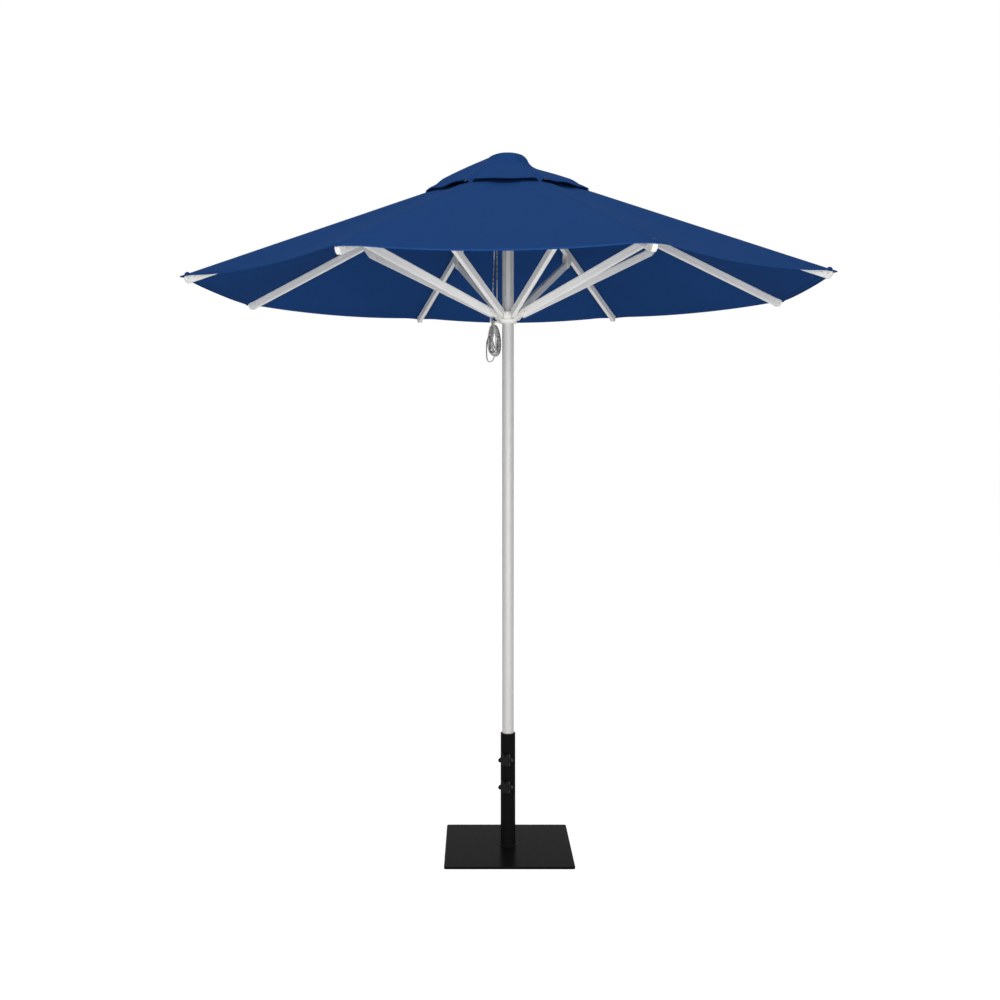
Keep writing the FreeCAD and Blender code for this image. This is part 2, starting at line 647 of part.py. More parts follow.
def make_bracket():
    """Folded sheet bracket that straddles the rib and holds the strut's pin below it."""
    outer = new_body("bracket_form")
    outline = sketch(outer, "XZ_Plane")
    x, z, low = BRACKET_X, BRACKET_Z, "(-rib_depth / 2 - bracket_wall)"
    add_polygon(outline, [
        (f"{x} - bracket_half", "bracket_rise"), (f"{x} - bracket_half", low),
        (f"{x} - bracket_eye", z), (f"{x} - 0.72 * bracket_eye", f"{z} - 0.7 * bracket_eye"),
        (f"{x} - 0.3 * bracket_eye", f"{z} - 0.96 * bracket_eye"),
        (f"{x} + 0.3 * bracket_eye", f"{z} - 0.96 * bracket_eye"),
        (f"{x} + 0.72 * bracket_eye", f"{z} - 0.7 * bracket_eye"), (f"{x} + bracket_eye", z),
        (f"{x} + bracket_half", low), (f"{x} + bracket_half", "bracket_rise"),
    ])
    inner = "(rib_width + 2 * clear_gap)"
    pad(outer, outline, f"{inner} + 2 * bracket_wall", midplane=True)
    tall = "(rib_depth / 2 + bracket_rise + 1)"
    saddle = block("saddle_cut", "4 * bracket_half", inner, tall, x, "0", "-rib_depth / 2")
    deep = f"({low} - {z} + 2 * bracket_eye)"
    yoke = block("yoke_cut", "4 * bracket_half", inner, deep, x, "0", f"{low} - {deep}")
    sheet_metal = cut("bracket_sheet", outer, saddle, yoke)
    wide = f"({inner} + 2 * bracket_wall)"
    pin = cylinder("bracket_shank", "bracket_pin", wide, x, f"-{wide} / 2", z, "y")
    ends = f"(-{wide} / 2 - bracket_head_height)", f"{wide} / 2"
    heads = [cylinder(f"bracket_end_{i}", "bracket_head", "bracket_head_height", x, y, z, "y")
             for i, y in enumerate(ends)]
    return fuse("bracket", sheet_metal, pin, *heads)


def make_tip():
    """Cap on the rib's end with a rounded nose and a plug."""
    start = f"({RIB_END} - tip_length)"
    cap = new_body("tip_form")
    outline = sketch(cap, "XZ_Plane")
    half = "rib_depth / 2"
    add_polygon(outline, [
        (start, f"-{half}"), (f"{RIB_END} - 0.7 * {half}", f"-{half}"),
        (f"{RIB_END} - 0.28 * {half}", f"-0.78 * {half}"), (RIB_END, f"-0.28 * {half}"),
        (RIB_END, f"0.7 * {half}"), (f"{RIB_END} - 0.3 * {half}", half), (start, half),
    ])
    pad(cap, outline, "rib_width", midplane=True)
    return fuse("tip", cap, make_plug("tip_plug", f"({start} - plug_length)"))


def make_nose():
    """Round-nosed plug on the strut's upper end, with the hole for the bracket's pin."""
    start = f"({STRUT_LENGTH} - nose_length)"
    middle = f"{start} + nose_length / 2"
    neck = block("nose_neck", "nose_length", "rib_width", "rib_depth", middle, "0", "-rib_depth / 2")
    round_end = cylinder("nose_round", "rib_depth", "rib_width", STRUT_LENGTH, "-rib_width / 2", "0", "y")
    plug = make_plug("nose_plug", f"({start} - plug_length)")
    bore = "bracket_pin + 2 * run_gap"
    hole = cylinder("nose_hole", bore, "2 * rib_width", STRUT_LENGTH, "-rib_width", "0", "y")
    return cut("nose", fuse("nose_whole", neck, round_end, plug), hole)


def make_arms():
    rib = make_tube("rib_form", "rib_start", f"{RIB_END} - tip_length - rib_start")
    tongue = make_tongue("rib_tongue", "rib_start")
    fittings = together("rib_fittings_form", tongue, make_bracket(), make_tip())
    strut = make_tube("strut_form", "strut_start", f"{STRUT_LENGTH} - nose_length - strut_start")
    ends = together("strut_ends_form", make_tongue("strut_tongue", "strut_start"), make_nose())
    forms = {
        "rib": leaning("rib_leant", rib, "pivot_radius", HUB_Z, RIB_ANGLE),
        "rib_fittings": leaning("fittings_leant", fittings, "pivot_radius", HUB_Z, RIB_ANGLE),
        "strut": leaning("strut_leant", strut, "pivot_radius", RUNNER_Z, f"-{STRUT_ANGLE}"),
        "strut_ends": leaning("ends_leant", ends, "pivot_radius", RUNNER_Z, f"-{STRUT_ANGLE}"),
        "canopy_gore": make_gore(),
    }
    for name, form in forms.items():
        for i in range(RIBS):
            node(f"{name}_{i + 1}", turned(f"{name}_at_{i + 1}", form, rib_azimuth(i)))


# Canopy: one gore per rib, with its share of the vent cap above it

def prism(corners, depth):
    """Solid below a flat face."""
    wire = Part.makePolygon([Vector(*c) for c in corners + corners[:1]])
    return Part.Face(wire).extrude(Vector(0, 0, -depth))


def panel(inner, outer, sag, side):
    """Corners of half a gore at azimuth 0: inner ridge, inner middle, outer middle, outer ridge.
    Inner and outer are each a radius to the ridge and a height."""
    half = math.radians(STEP / 2)
    gap = size("clear_gap") / 2
    out = []
    for (radius, height), drop in ((inner, 0), (outer, sag)):
        middle = radius * math.cos(half)
        x = middle * math.cos(half) + gap * math.sin(half)
        y = middle * math.sin(half) - gap * math.cos(half)
        out.append(((radius, 0, height), (x, side * y, height - drop)))
    (inner_ridge, inner_middle), (outer_ridge, outer_middle) = out
    return inner_ridge, inner_middle, outer_middle, outer_ridge


def along(a, b, distance):
    """The point that lies a distance from a towards b."""
    a, b = Vector(*a), Vector(*b)
    return tuple(a + (b - a).normalize() * distance)


def gore_shape():
    """Cloth between two neighbouring mid-panel lines, with its hem, its part of the vent cap and the
    stitched corner that joins the two."""
    slope, radius, rim = size("ridge_slope"), size("canopy_radius"), size("rim_height")
    cloth = size("cloth_thick")
    thick = cloth * math.sqrt(1 + slope * slope)
    vent, cap, cap_z = size("vent_radius"), size("cap_radius"), size("cap_rim_height")
    solids = []
    for side in (-1, 1):
        vent_z = rim + slope * (radius - vent)
        a, b, c, d = panel((vent, vent_z), (radius, rim), size("hem_sag"), side)
        solids += [prism([a, c, d], thick), prism([a, b, c], thick)]
        d_in, c_in = along(d, a, cloth), along(c, b, cloth)
        solids += [prism([d, c, d_in], size("hem_depth")), prism([c, c_in, d_in], size("hem_depth"))]
        inner = (size("cap_inner"), value_of(CAP_INNER_Z))
        a, b, c, d = panel(inner, (cap, cap_z), 0, side)
        solids.append(prism([a, b, c, d], thick))
        near = along(d, a, size("stitch_near"))
        far = along(d, a, size("stitch_near") + size("stitch_length"))
        aside = Vector(*along(d, c, size("stitch_half"))) - Vector(*d)
        outline = [near, tuple(Vector(*near) + aside), tuple(Vector(*far) + aside), far]
        solids.append(prism(outline, far[2] - (rim + slope * (radius - far[0])) + thick / 2))
    return solids[0].multiFuse(solids[1:]).removeSplitter()


def make_gore():
    form = doc.addObject("Part::Feature", "gore_form")
    form.Shape = gore_shape()
    return form


# Lift rope: two falls over the sheave, and the hank that hangs from the hook

def rope_path(points, radii):
    """Straight runs joined by tangent arcs: one radius for each inner point."""
    points = [Vector(*p) for p in points]
    edges, start = [], points[0]
    for before, corner, after, radius in zip(points, points[1:], points[2:], radii):
        into, away = (before - corner).normalize(), (after - corner).normalize()
        half_turn = (math.pi - into.getAngle(away)) / 2
        reach = radius * math.tan(half_turn)
        first, last = corner + into * reach, corner + away * reach
        to_middle = (into + away).normalize()
        middle = corner + to_middle * (radius / math.cos(half_turn) - radius)
        if (first - start).Length > 1e-6:
            edges.append(Part.LineSegment(start, first).toShape())
        edges.append(Part.Arc(first, middle, last).toShape())
        start = last
    edges.append(Part.LineSegment(start, points[-1]).toShape())
    return Part.Wire(edges)


def make_lift_rope():
    """Rope from the runner up, over the sheave and down to the hook, built at azimuth 0."""
    radius, pitch, dia = size("rope_radius"), size("sheave_pitch"), size("rope_dia")
    top = value_of(f"{HUB_Z} - sheave_drop") + pitch
    foot = value_of(f"{RUNNER_Z} + runner_above + clear_gap")
    hook = value_of(f"{HOOK_Z} + hook_dia / 2 + clear_gap")
    out = size("hook_reach") - dia
    points = [
        (radius, -pitch, foot), (radius, -pitch, top), (radius, pitch, top),
        (radius, pitch, top - 4 * pitch), (out, pitch, hook),
    ]
    radii = [pitch, pitch, 20 * dia]
    path = rope_path(points, radii)
    section = Part.Wire(Part.Circle(Vector(*points[0]), Vector(0, 0, 1), dia / 2).toShape())
    rope = doc.addObject("Part::Feature", "rope_form")
    rope.Shape = path.makePipeShell([section], True, True)
    print("lift rope: length", round(path.Length), "volume", round(rope.Shape.Volume))
    node("lift_rope", turned("lift_rope_turned", rope, ROPE_AZIMUTH))


def oval(name, width, thick, length, x, z):
    """Upright bundle with round ends: width outwards, thickness across, and length between its ends."""
    run, near = f"({length} - {width})", f"-{thick} / 2"
    middle = block(name + "_middle", width, thick, run, x, "0", f"{z} - {run} / 2")
    low = cylinder(f"{name}_low", width, thick, x, near, f"{z} - {run} / 2", "y")
    high = cylinder(f"{name}_high", width, thick, x, near, f"{z} + {run} / 2", "y")
    return fuse(name, middle, low, high)


def make_hank():
    middle = f"({HOOK_Z} - hook_dia / 2 - clear_gap - hank_length / 2)"
    bundle = oval("hank_bundle", "hank_width", "hank_thick", "hank_length", "hank_middle", middle)
    low = f"{middle} - loop_drop"
    loop = oval("hank_loop", "loop_width", "loop_thick", "loop_length", "loop_middle", low)
    node("rope_hank", turned("hank_turned", fuse("hank_whole", bundle, loop), ROPE_AZIMUTH))


make_base()
make_clamp_nuts()
make_knob("knob_upper", "knob_high")
make_knob("knob_lower", "knob_low")
make_pole()
make_top_hub()
make_sheave()
make_crown()
make_runner()
make_lock_pin()
make_rope_hook()
make_arms()
make_lift_rope()
make_hank()
doc.recompute()

broken = [o.Name for o in doc.Objects if {"Invalid", "Error"} & set(o.State)]
broken += [name for name, obj in nodes.items() if obj.Shape.isNull() or not obj.Shape.isValid()]
if broken:
    raise RuntimeError("these objects failed: " + ", ".join(broken))

os.makedirs("parts", exist_ok=True)
for name, obj in nodes.items():
    obj.Shape.exportStep(f"parts/{name}.step")
print(len(nodes), "nodes;", sum(len(obj.Shape.Solids) for obj in nodes.values()), "solids")
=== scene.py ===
import json
import math

import bpy
import numpy as np
from bpy.props import FloatProperty, FloatVectorProperty, IntProperty, PointerProperty
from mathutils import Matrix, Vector


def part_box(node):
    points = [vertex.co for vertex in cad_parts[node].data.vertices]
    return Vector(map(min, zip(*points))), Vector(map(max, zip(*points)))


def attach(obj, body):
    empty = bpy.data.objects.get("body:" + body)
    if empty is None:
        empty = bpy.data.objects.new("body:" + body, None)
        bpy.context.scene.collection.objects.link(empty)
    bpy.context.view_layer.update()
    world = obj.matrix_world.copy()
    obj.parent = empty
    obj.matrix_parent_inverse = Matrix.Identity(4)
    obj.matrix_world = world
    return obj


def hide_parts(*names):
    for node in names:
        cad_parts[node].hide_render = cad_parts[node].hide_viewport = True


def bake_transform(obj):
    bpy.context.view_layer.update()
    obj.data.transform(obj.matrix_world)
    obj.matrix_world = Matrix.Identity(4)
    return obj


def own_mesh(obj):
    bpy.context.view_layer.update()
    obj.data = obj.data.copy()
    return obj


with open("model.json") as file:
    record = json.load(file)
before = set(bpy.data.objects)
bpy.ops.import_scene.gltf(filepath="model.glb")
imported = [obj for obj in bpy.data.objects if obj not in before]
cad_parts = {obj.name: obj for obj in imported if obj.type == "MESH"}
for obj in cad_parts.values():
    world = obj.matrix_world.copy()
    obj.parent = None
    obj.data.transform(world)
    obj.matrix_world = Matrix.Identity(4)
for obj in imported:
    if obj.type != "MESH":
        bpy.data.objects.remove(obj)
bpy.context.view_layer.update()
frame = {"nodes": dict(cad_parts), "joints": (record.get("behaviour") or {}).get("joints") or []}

bl_info = {
    "name": "Patio umbrella",
    "version": (1, 0, 0),
    "blender": (4, 5, 0),
    "location": "3D View > Sidebar > Umbrella",
    "description": "Dresses a market umbrella and its base with cloth, rope and finishes",
    "category": "Object",
}

# From the frame: the box of the solids, the joints, and where the ribs and the rope are
JOINTS = {joint["name"]: joint for joint in frame["joints"]}
RIBS = sum(name.startswith("rib_") for name in JOINTS)
HALF_STEP = math.pi / RIBS  # half the angle between two ribs
COS, SIN = math.cos(HALF_STEP), math.sin(HALF_STEP)


def rib_azimuth(i):
    """The azimuth of rib i, from its hinge's axis, which is square to the rib."""
    axis = JOINTS[f"rib_{i + 1}_fold"]["axis"]
    return math.atan2(-axis[0], axis[1])


def corner_radius():
    """The canopy's centre-to-corner radius: the gore that reaches furthest to the front gives it."""
    reach = [(-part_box(f"canopy_gore_{i + 1}")[0].y, i) for i in range(RIBS)]
    far, i = max(reach)
    return far / -math.sin(rib_azimuth(i))


SHEAVE = JOINTS["sheave_spin"]
ROPE_AZIMUTH = math.atan2(SHEAVE["axis"][1], SHEAVE["axis"][0])
RUNNER_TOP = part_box("runner")[1].z
HOOK_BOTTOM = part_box("rope_hook")[0].z

# Weave and seams, in metres
THREAD_PITCH = 0.0011
SEAM_STITCHES, HEM_STITCHES = 0.0055, 0.022  # from the ridge, and in from the hem
STITCH_HALF_WIDTH, STITCH_PITCH, STITCH_SHARE = 0.0007, 0.0042, 0.68
SEAM_HALF_WIDTH, SEAM_HEIGHT, SEAM_EDGE = 0.0075, 0.0008, 0.0012
HEM_DEPTH, HEM_EXTRA = 0.022, 0.0007  # the turned-in hem, and its extra thickness
HEM_INSET = 0.0024  # from the hem's outer face in to its inner one
CAP_HEM_DEPTH, CAP_HEM_EXTRA, CAP_HEM_FOLD = 0.013, 0.0006, 0.0004

# The rows of a gore, and its columns beside the ridge seam
CANOPY_ROWS, CAP_ROWS, CROWN_RINGS = 46, 30, 26
SEAM_COLUMNS = (0, 0.0025, 0.0055, 0.0075, 0.009, 0.013, 0.022)
PANEL_COLUMNS = 16

# How the cloth hangs, in metres. The flat strip beside a ridge lies on the rib's tube.
RIDGE_STRIP = 0.075
VENT_DROOP, DROOP_TAKEN_UP = 0.003, 0.006  # at the vent, and off a panel's own
PUCKER, PUCKER_WAVES, PUCKER_FADE, PUCKER_START = 0.0007, ((105, 0.8), (41, 2.1)), 0.035, 0.01
POINT_LENGTH, POINT_HALF_WIDTH = 0.06, 0.016  # where a corner is drawn out
TIP_SHOWS = 0.09  # how far from its corner a shallow hem gets its depth back

# The vent cap, in metres: how full it is, its sag to the sides, its waves, and its sewn-down corners
CAP_FULLNESS, CAP_CROWN_DIP, CAP_BOW, CAP_SIDE_SAG = 0.0055, 0.008, 0.004, 0.010
CAP_WAVE, CAP_WAVES, CAP_WAVE_START = 0.005, 13, -0.38
SEWN_HALF_WIDTH, SEWN_EDGE, SEWN_GAP = 0.011, 0.0036, 0.0026
SEWN_FROM, SEWN_OVER = 0.72, 0.24  # shares of the way from the crown to the cap's edge

# The rope, in metres: clearance at its ends, its place on the hook, and its knot's scale
ROPE_CLEARANCE, HOOK_PLACE, KNOT_SCALE = 0.0003, 0.065, 0.0021

# Studs and rivets, in metres: how deep they go in, and where rivets sit, from a pin or back from the far end
STUD_DEPTH, RIVET_DEPTH = 0.001, 0.0004
RIB_RIVET, TIP_RIVETS, STRUT_RIVET, STRUT_END_RIVET = 0.075, (0.037, 0.012), 0.039, 0.033


# Sizes and colours that a user would change

def length(name, default, description):
    """A size in metres, as a setting."""
    return FloatProperty(name=name, description=description, default=default, min=0, unit="LENGTH",
                         precision=4)


def share_of(name, default, description):
    """A plain number, as a setting."""
    return FloatProperty(name=name, description=description, default=default)


def colour(name, default, description):
    """A colour as a setting. Its default is given in sRGB bytes, and kept as linear light."""
    linear = [((c / 255 + 0.055) / 1.055) ** 2.4 if c > 10 else c / 255 / 12.92 for c in default]
    return FloatVectorProperty(name=name, description=description, default=linear, subtype="COLOR",
                               min=0, max=1)


class CanopySizes(bpy.types.PropertyGroup):
    radius: length("Corner radius", corner_radius(), "Centre to corner of the canopy")
    rim: length("Corner height", 2.269, "Height of the canopy's corners, top of the cloth")
    slope: share_of("Ridge slope", 0.392, "Fall of a ridge per unit of radius")
    vent: length("Vent radius", 0.228, "Opening under the vent cap, centre to corner")
    cap: length("Cap radius", 0.35, "Vent cap, centre to corner")
    cap_rim: length("Cap edge height", 2.659, "Height of the vent cap's edge, away from its sewn corners")
    crown: length("Crown radius", 0.084, "Where the vent cap meets the cloth over the crown")
    crown_rim: length("Crown edge height", 2.7995, "Height of the cloth round the crown")
    top: length("Crown height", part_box("crown_cover")[1].z, "Height of the cloth over the crown")
    thick: length("Cloth", 0.0012, "Thickness of the cloth")
    hem: length("Hem", 0.005, "Depth of the hem that hangs from the rim")
    sag: length("Droop", 0.017, "Droop of the rim between two ribs")
    point: length("Corner point", 0.004, "How far each corner of the cloth is drawn out past the rib's tip")
    bow: length("Panel droop", 0.011, "Droop of the middle of a panel")
    slack: length("Cap slack", 0.042, "How far the slack side of the vent cap sinks behind the crown")
    cap_split: length("Cap's split", 0.19, "Ridge radius where the gores of the vent cap are cut in two")
    keep: share_of("Cap's folded share", 0.42, "Share of a vent cap gore's width left when folded")
    gather: share_of("Gathered share", 0.25, "Share of a canopy gore's width left when folded")


class RopeSizes(bpy.types.PropertyGroup):
    diameter: length("Rope", 0.005, "Rope diameter")
    pitch: length("Sheave", 0.0055, "Radius of the rope's centre line round the sheave")
    hook: length("Hook", 0.007, "Diameter of the hook's rod")
    turn_points: IntProperty(name="Points", description="Control points in each turn of the hank", default=14)


class StudSizes(bpy.types.PropertyGroup):
    inside: length("Stud place", 0.023, "From the canopy's corner in to the middle of its stud")
    stud: length("Stud", 0.020, "Diameter of a corner stud")
    stud_height: length("Stud height", 0.008, "Height of a corner stud")
    rivet: length("Rivet", 0.007, "Diameter of a rivet's head")
    rivet_height: length("Rivet height", 0.0014, "Height of a rivet's head")
    tube: length("Tube width", 0.018, "Width of the rib and strut tubes")
    rib_length: length("Rib length", 1.3341, "From the hub pin to the rib's tip")


class Colours(bpy.types.PropertyGroup):
    cloth: colour("Cloth", (30, 65, 119), "Dyed cloth")
    thread: colour("Thread", (24, 54, 102), "Sewing thread")
    pole: colour("Pole", (193, 192, 190), "Anodised pole")
    tube: colour("Tube", (229, 228, 225), "Tubes of the ribs and struts")
    moulding: colour("Moulding", (226, 225, 221), "Pale moulded parts")
    stud: colour("Stud", (27, 58, 108), "Studs on the canopy's corners")
    pins: colour("Pins", (204, 202, 198), "Pins and rivets")
    steel: colour("Coated steel", (20, 20, 21), "Powder coat on the base")
    knob: colour("Knob", (16, 16, 17), "Moulded knobs")
    rope: colour("Rope", (190, 189, 187), "Light strands of the rope")
    # Dark flecks of the rope, also used for the painted shade in the braid's hollows.
    rope_fleck_and_braid_shade: colour("Rope fleck", (62, 62, 62), "Dark strands of the rope")


# Mesh helpers

def in_scene(name, data):
    """A new object with that data, linked to the scene."""
    made = bpy.data.objects.new(name, data)
    bpy.context.scene.collection.objects.link(made)
    return made


def new_piece(name, points, faces, body, material, uv=None):
    """A smooth mesh piece, riding on a body if one is named. uv holds one pair for each point."""
    mesh = bpy.data.meshes.new(name)
    mesh.from_pydata(points.reshape(-1, 3).tolist(), [], faces if isinstance(faces, list) else faces.tolist())
    if uv is not None:
        corners = np.empty(len(mesh.loops), np.int32)
        mesh.loops.foreach_get("vertex_index", corners)
        layer = mesh.uv_layers.new(name="UVMap")
        layer.data.foreach_set("uv", uv.reshape(-1, 2)[corners].astype(np.float32).ravel())
    mesh.polygons.foreach_set("use_smooth", [True] * len(mesh.polygons))
    mesh.materials.append(material)
    mesh.update()
    piece = in_scene(name, mesh)
    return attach(piece, body) if body else piece


def grid_faces(rows, columns, around=False, start=0):
    """Quads of a grid of points counted row by row. around joins the last column to the first."""
    r, c = np.meshgrid(np.arange(rows - 1), np.arange(columns if around else columns - 1), indexing="ij")
    after = (c + 1) % columns
    here, below = r * columns, (r + 1) * columns
    return np.stack([here + c, below + c, below + after, here + after], -1).reshape(-1, 4) + start


def cloth_shell(name, upper, lower, uv, body, material):
    """Closed sheet between two grids of the same size: the two faces and a rim round their shared edge.
    The rim's edges are sharp, so that the faces shade as smooth cloth right up to it."""
    rows, columns = upper.shape[:2]
    count = rows * columns
    top = grid_faces(rows, columns)
    bottom = grid_faces(rows, columns, start=count)[:, ::-1]
    index = np.arange(count).reshape(rows, columns)
    loop = np.concatenate([index[0], index[1:, -1], index[-1, -2::-1], index[-2:0:-1, 0]])
    after = np.roll(loop, -1)
    rim = np.stack([loop, after, after + count, loop + count], -1)
    points = np.concatenate([upper.reshape(-1, 3), lower.reshape(-1, 3)])
    both = np.concatenate([uv.reshape(-1, 2)] * 2)
    piece = new_piece(name, points, np.concatenate([top, bottom, rim]), body, material, both)
    mesh = piece.data
    ends = np.empty(len(mesh.edges) * 2, np.int32)
    mesh.edges.foreach_get("vertices", ends)
    on_rim = np.isin(np.arange(2 * count) % count, loop)
    upper_side = ends.reshape(-1, 2) < count
    rim_pairs = {frozenset(pair) for pair in zip(loop.tolist(), after.tolist())}
    sharp = [
        bool(on_rim[a] and on_rim[b] and (su != sv or frozenset((a % count, b % count)) in rim_pairs))
        for (a, b), (su, sv) in zip(ends.reshape(-1, 2).tolist(), upper_side.tolist())
    ]
    attribute = mesh.attributes.new("sharp_edge", "BOOLEAN", "EDGE")
    attribute.data.foreach_set("value", sharp)
    return piece


def turn(points, azimuth):
    """Turns points about the pole."""
    c, s = math.cos(azimuth), math.sin(azimuth)
    x, y = points[..., 0], points[..., 1]
    return np.stack([c * x - s * y, s * x + c * y, points[..., 2]], -1)


def domes(name, places, radius, height, body, material, steps=20, rings=6):
    """Round-headed studs joined in one piece. Each place is a centre, an axis that the head points along, and
    the depth that the stud goes in below it. At an angle t of its quarter turn, a head is radius cos t wide
    and height sin t high."""
    t = np.linspace(0, math.pi / 2, rings, endpoint=False)
    out, up = np.r_[radius, radius * np.cos(t)], np.r_[-1.0, height * np.sin(t)]
    angles = np.linspace(0, 2 * math.pi, steps, endpoint=False)
    points, faces = [], []
    for centre, axis, depth in places:
        axis = Vector(axis).normalized()
        side = axis.orthogonal().normalized()
        other = axis.cross(side)
        start = sum(len(p) for p in points)
        level = np.where(up < 0, -depth, up)
        ring = np.cos(angles)[:, None] * np.array(side) + np.sin(angles)[:, None] * np.array(other)
        centre, up_axis = np.array(centre), np.array(axis)
        body_points = out[:, None, None] * ring[None] + level[:, None, None] * up_axis + centre
        ends = np.array([centre + up_axis * height, centre - up_axis * depth])
        points.append(np.concatenate([body_points.reshape(-1, 3), ends]))
        faces += (grid_faces(len(out), steps, around=True, start=start)[:, ::-1]).tolist()
        last, count = start + (len(out) - 1) * steps, len(out) * steps
        for k in range(steps):
            after = (k + 1) % steps
            faces.append([last + k, last + after, start + count])
            faces.append([start + after, start + k, start + count + 1])
    return new_piece(name, np.concatenate(points), faces, body, material)


# Materials

def add(tree, kind, inputs=None, **settings):
    """A shader node with its settings, and its inputs set to values or linked to sockets."""
    made = tree.nodes.new("ShaderNode" + kind)
    for key, value in settings.items():
        setattr(made, key, value)
    for key, value in (inputs or {}).items():
        if isinstance(value, bpy.types.NodeSocket):
            tree.links.new(value, made.inputs[key])
        else:
            made.inputs[key].default_value = value
    return made


def maths(tree, operation, *values):
    """The result of a Math node on values or sockets."""
    return add(tree, "Math", dict(enumerate(values)), operation=operation).outputs[0]


def empty_tree(owner):
    """The node tree of a material or world, with nothing in it."""
    owner.use_nodes = True
    owner.node_tree.nodes.clear()
    return owner.node_tree


def seen_rays(tree):
    """1 for rays from the camera, straight, mirrored or through something, and 0 for the others."""
    path = add(tree, "LightPath")
    seen = maths(tree, "MAXIMUM", path.outputs["Is Camera Ray"], path.outputs["Is Glossy Ray"])
    return maths(tree, "MAXIMUM", seen, path.outputs["Is Transmission Ray"])


def surface(name, **inputs):
    """A new material with a Principled surface."""
    made = bpy.data.materials.new(name)
    tree = empty_tree(made)
    shader = add(tree, "BsdfPrincipled", {key.replace("_", " "): value for key, value in inputs.items()})
    add(tree, "OutputMaterial", {"Surface": shader.outputs[0]})
    return made, tree, shader


def rgba(value):
    """A colour setting as a solid colour."""
    return (*value[:3], 1.0)


def noise(tree, place, scale, detail):
    """Noise between 0 and 1, most of it from 0.3 to 0.7."""
    return add(tree, "TexNoise", {"Vector": place, "Scale": scale, "Detail": detail}).outputs["Fac"]


def spread(tree, value, low, high):
    """Noise spread over the range from low to high."""
    inputs = {"Value": value, "From Min": 0.3, "From Max": 0.7, "To Min": low, "To Max": high}
    return add(tree, "MapRange", inputs).outputs[0]


def scaled(tree, colour_or_vector, by):
    """A colour or vector times a number."""
    return add(tree, "VectorMath", {0: colour_or_vector, 3: by}, operation="SCALE").outputs[0]


def mottled(tree, place, base, scale, share):
    """The base colour, lighter and darker by up to that share in soft patches."""
    return scaled(tree, rgba(base)[:3], spread(tree, noise(tree, place, scale, 4.0), 1 - share, 1 + share))


def bumped(tree, shader, height, distance, strength=1.0, before=None):
    """Raises the surface by a height, on top of another bump if there is one before."""
    inputs = {"Height": height, "Distance": distance, "Strength": strength}
    if before is not None:
        inputs["Normal"] = before
    made = add(tree, "Bump", inputs)
    tree.links.new(made.outputs[0], shader.inputs["Normal"])
    return made.outputs[0]


def band(tree, value, centre, half):
    """1 where the value lies within half of the centre, and 0 elsewhere."""
    return maths(tree, "LESS_THAN", maths(tree, "ABSOLUTE", maths(tree, "SUBTRACT", value, centre)), half)


def dashes(tree, value, period, share):
    """1 on the first share of each period, and 0 on the rest."""
    return maths(tree, "LESS_THAN", maths(tree, "FRACT", maths(tree, "DIVIDE", value, period)), share)


def cloth_material(colours):
    """Woven canopy cloth. Its UV map is in metres: across from the ridge seam, and in from the hem."""
    made, tree, shader = surface("woven_cloth", Roughness=0.95, Specular_IOR_Level=0.01)
    coords = add(tree, "TexCoord").outputs
    split = add(tree, "SeparateXYZ", {0: coords["UV"]})
    across, inward = split.outputs[0], split.outputs[1]
    warp = maths(tree, "SINE", maths(tree, "MULTIPLY", across, 2 * math.pi / THREAD_PITCH))
    weft = maths(tree, "SINE", maths(tree, "MULTIPLY", inward, 2 * math.pi / THREAD_PITCH))
    weave = maths(tree, "MULTIPLY", warp, weft)
    base = mottled(tree, coords["Object"], colours.cloth, 2.2, 0.035)
    threads = add(tree, "VectorMath", {0: coords["UV"], 1: (900, 35, 1)}, operation="MULTIPLY")
    base = scaled(tree, base, spread(tree, noise(tree, threads.outputs[0], 1.0, 2.0), 0.95, 1.05))
    seam_rows = band(tree, maths(tree, "ABSOLUTE", across), SEAM_STITCHES, STITCH_HALF_WIDTH)
    seam = maths(tree, "MULTIPLY", seam_rows, dashes(tree, inward, STITCH_PITCH, STITCH_SHARE))
    hem_rows = band(tree, inward, HEM_STITCHES, STITCH_HALF_WIDTH)
    hem = maths(tree, "MULTIPLY", hem_rows, dashes(tree, across, STITCH_PITCH, STITCH_SHARE))
    stitch = maths(tree, "MAXIMUM", seam, hem)
    tinted = add(tree, "Mix", {0: stitch, 6: base, 7: rgba(colours.thread)}, data_type="RGBA")
    tree.links.new(tinted.outputs[2], shader.inputs["Base Color"])
    crumple = noise(tree, coords["Object"], 9.0, 3.0)
    soft = bumped(tree, shader, crumple, 0.004, 0.35)
    woven = bumped(tree, shader, weave, 0.0001, 0.5, soft)
    bumped(tree, shader, stitch, 0.0006, 0.8, woven)
    return made


def tube_material(name, base, metallic, painted_groove_shade_above=None):
    """Satin tube with a fine grain and soft patches, and on the pole two thin upright lines of painted shade
    in front, where its grooves are.
    """
    made, tree, shader = surface(name, Metallic=metallic, Specular_IOR_Level=0.4)
    place = add(tree, "TexCoord").outputs["Object"]
    tone = mottled(tree, place, base, 5.0, 0.02)
    if painted_groove_shade_above:
        split = add(tree, "SeparateXYZ", {0: place})
        # Painted shade: two thin dark lines on the front of the upper pole stand in for the shade in its
        # grooves.
        line = band(tree, maths(tree, "ABSOLUTE", split.outputs[0]), 0.012, 0.0016)
        high = maths(tree, "GREATER_THAN", split.outputs[2], painted_groove_shade_above)
        front = maths(tree, "LESS_THAN", split.outputs[1], 0.0)
        groove_shade = maths(tree, "MULTIPLY", maths(tree, "MULTIPLY", line, high), front)
        tone = scaled(tree, tone, maths(tree, "MULTIPLY_ADD", groove_shade, -0.5, 1.0))
    tree.links.new(tone, shader.inputs["Base Color"])
    fine = noise(tree, place, 420.0, 2.0)
    tree.links.new(spread(tree, fine, 0.36, 0.46), shader.inputs["Roughness"])
    bumped(tree, shader, fine, 0.00008, 0.5)
    return made


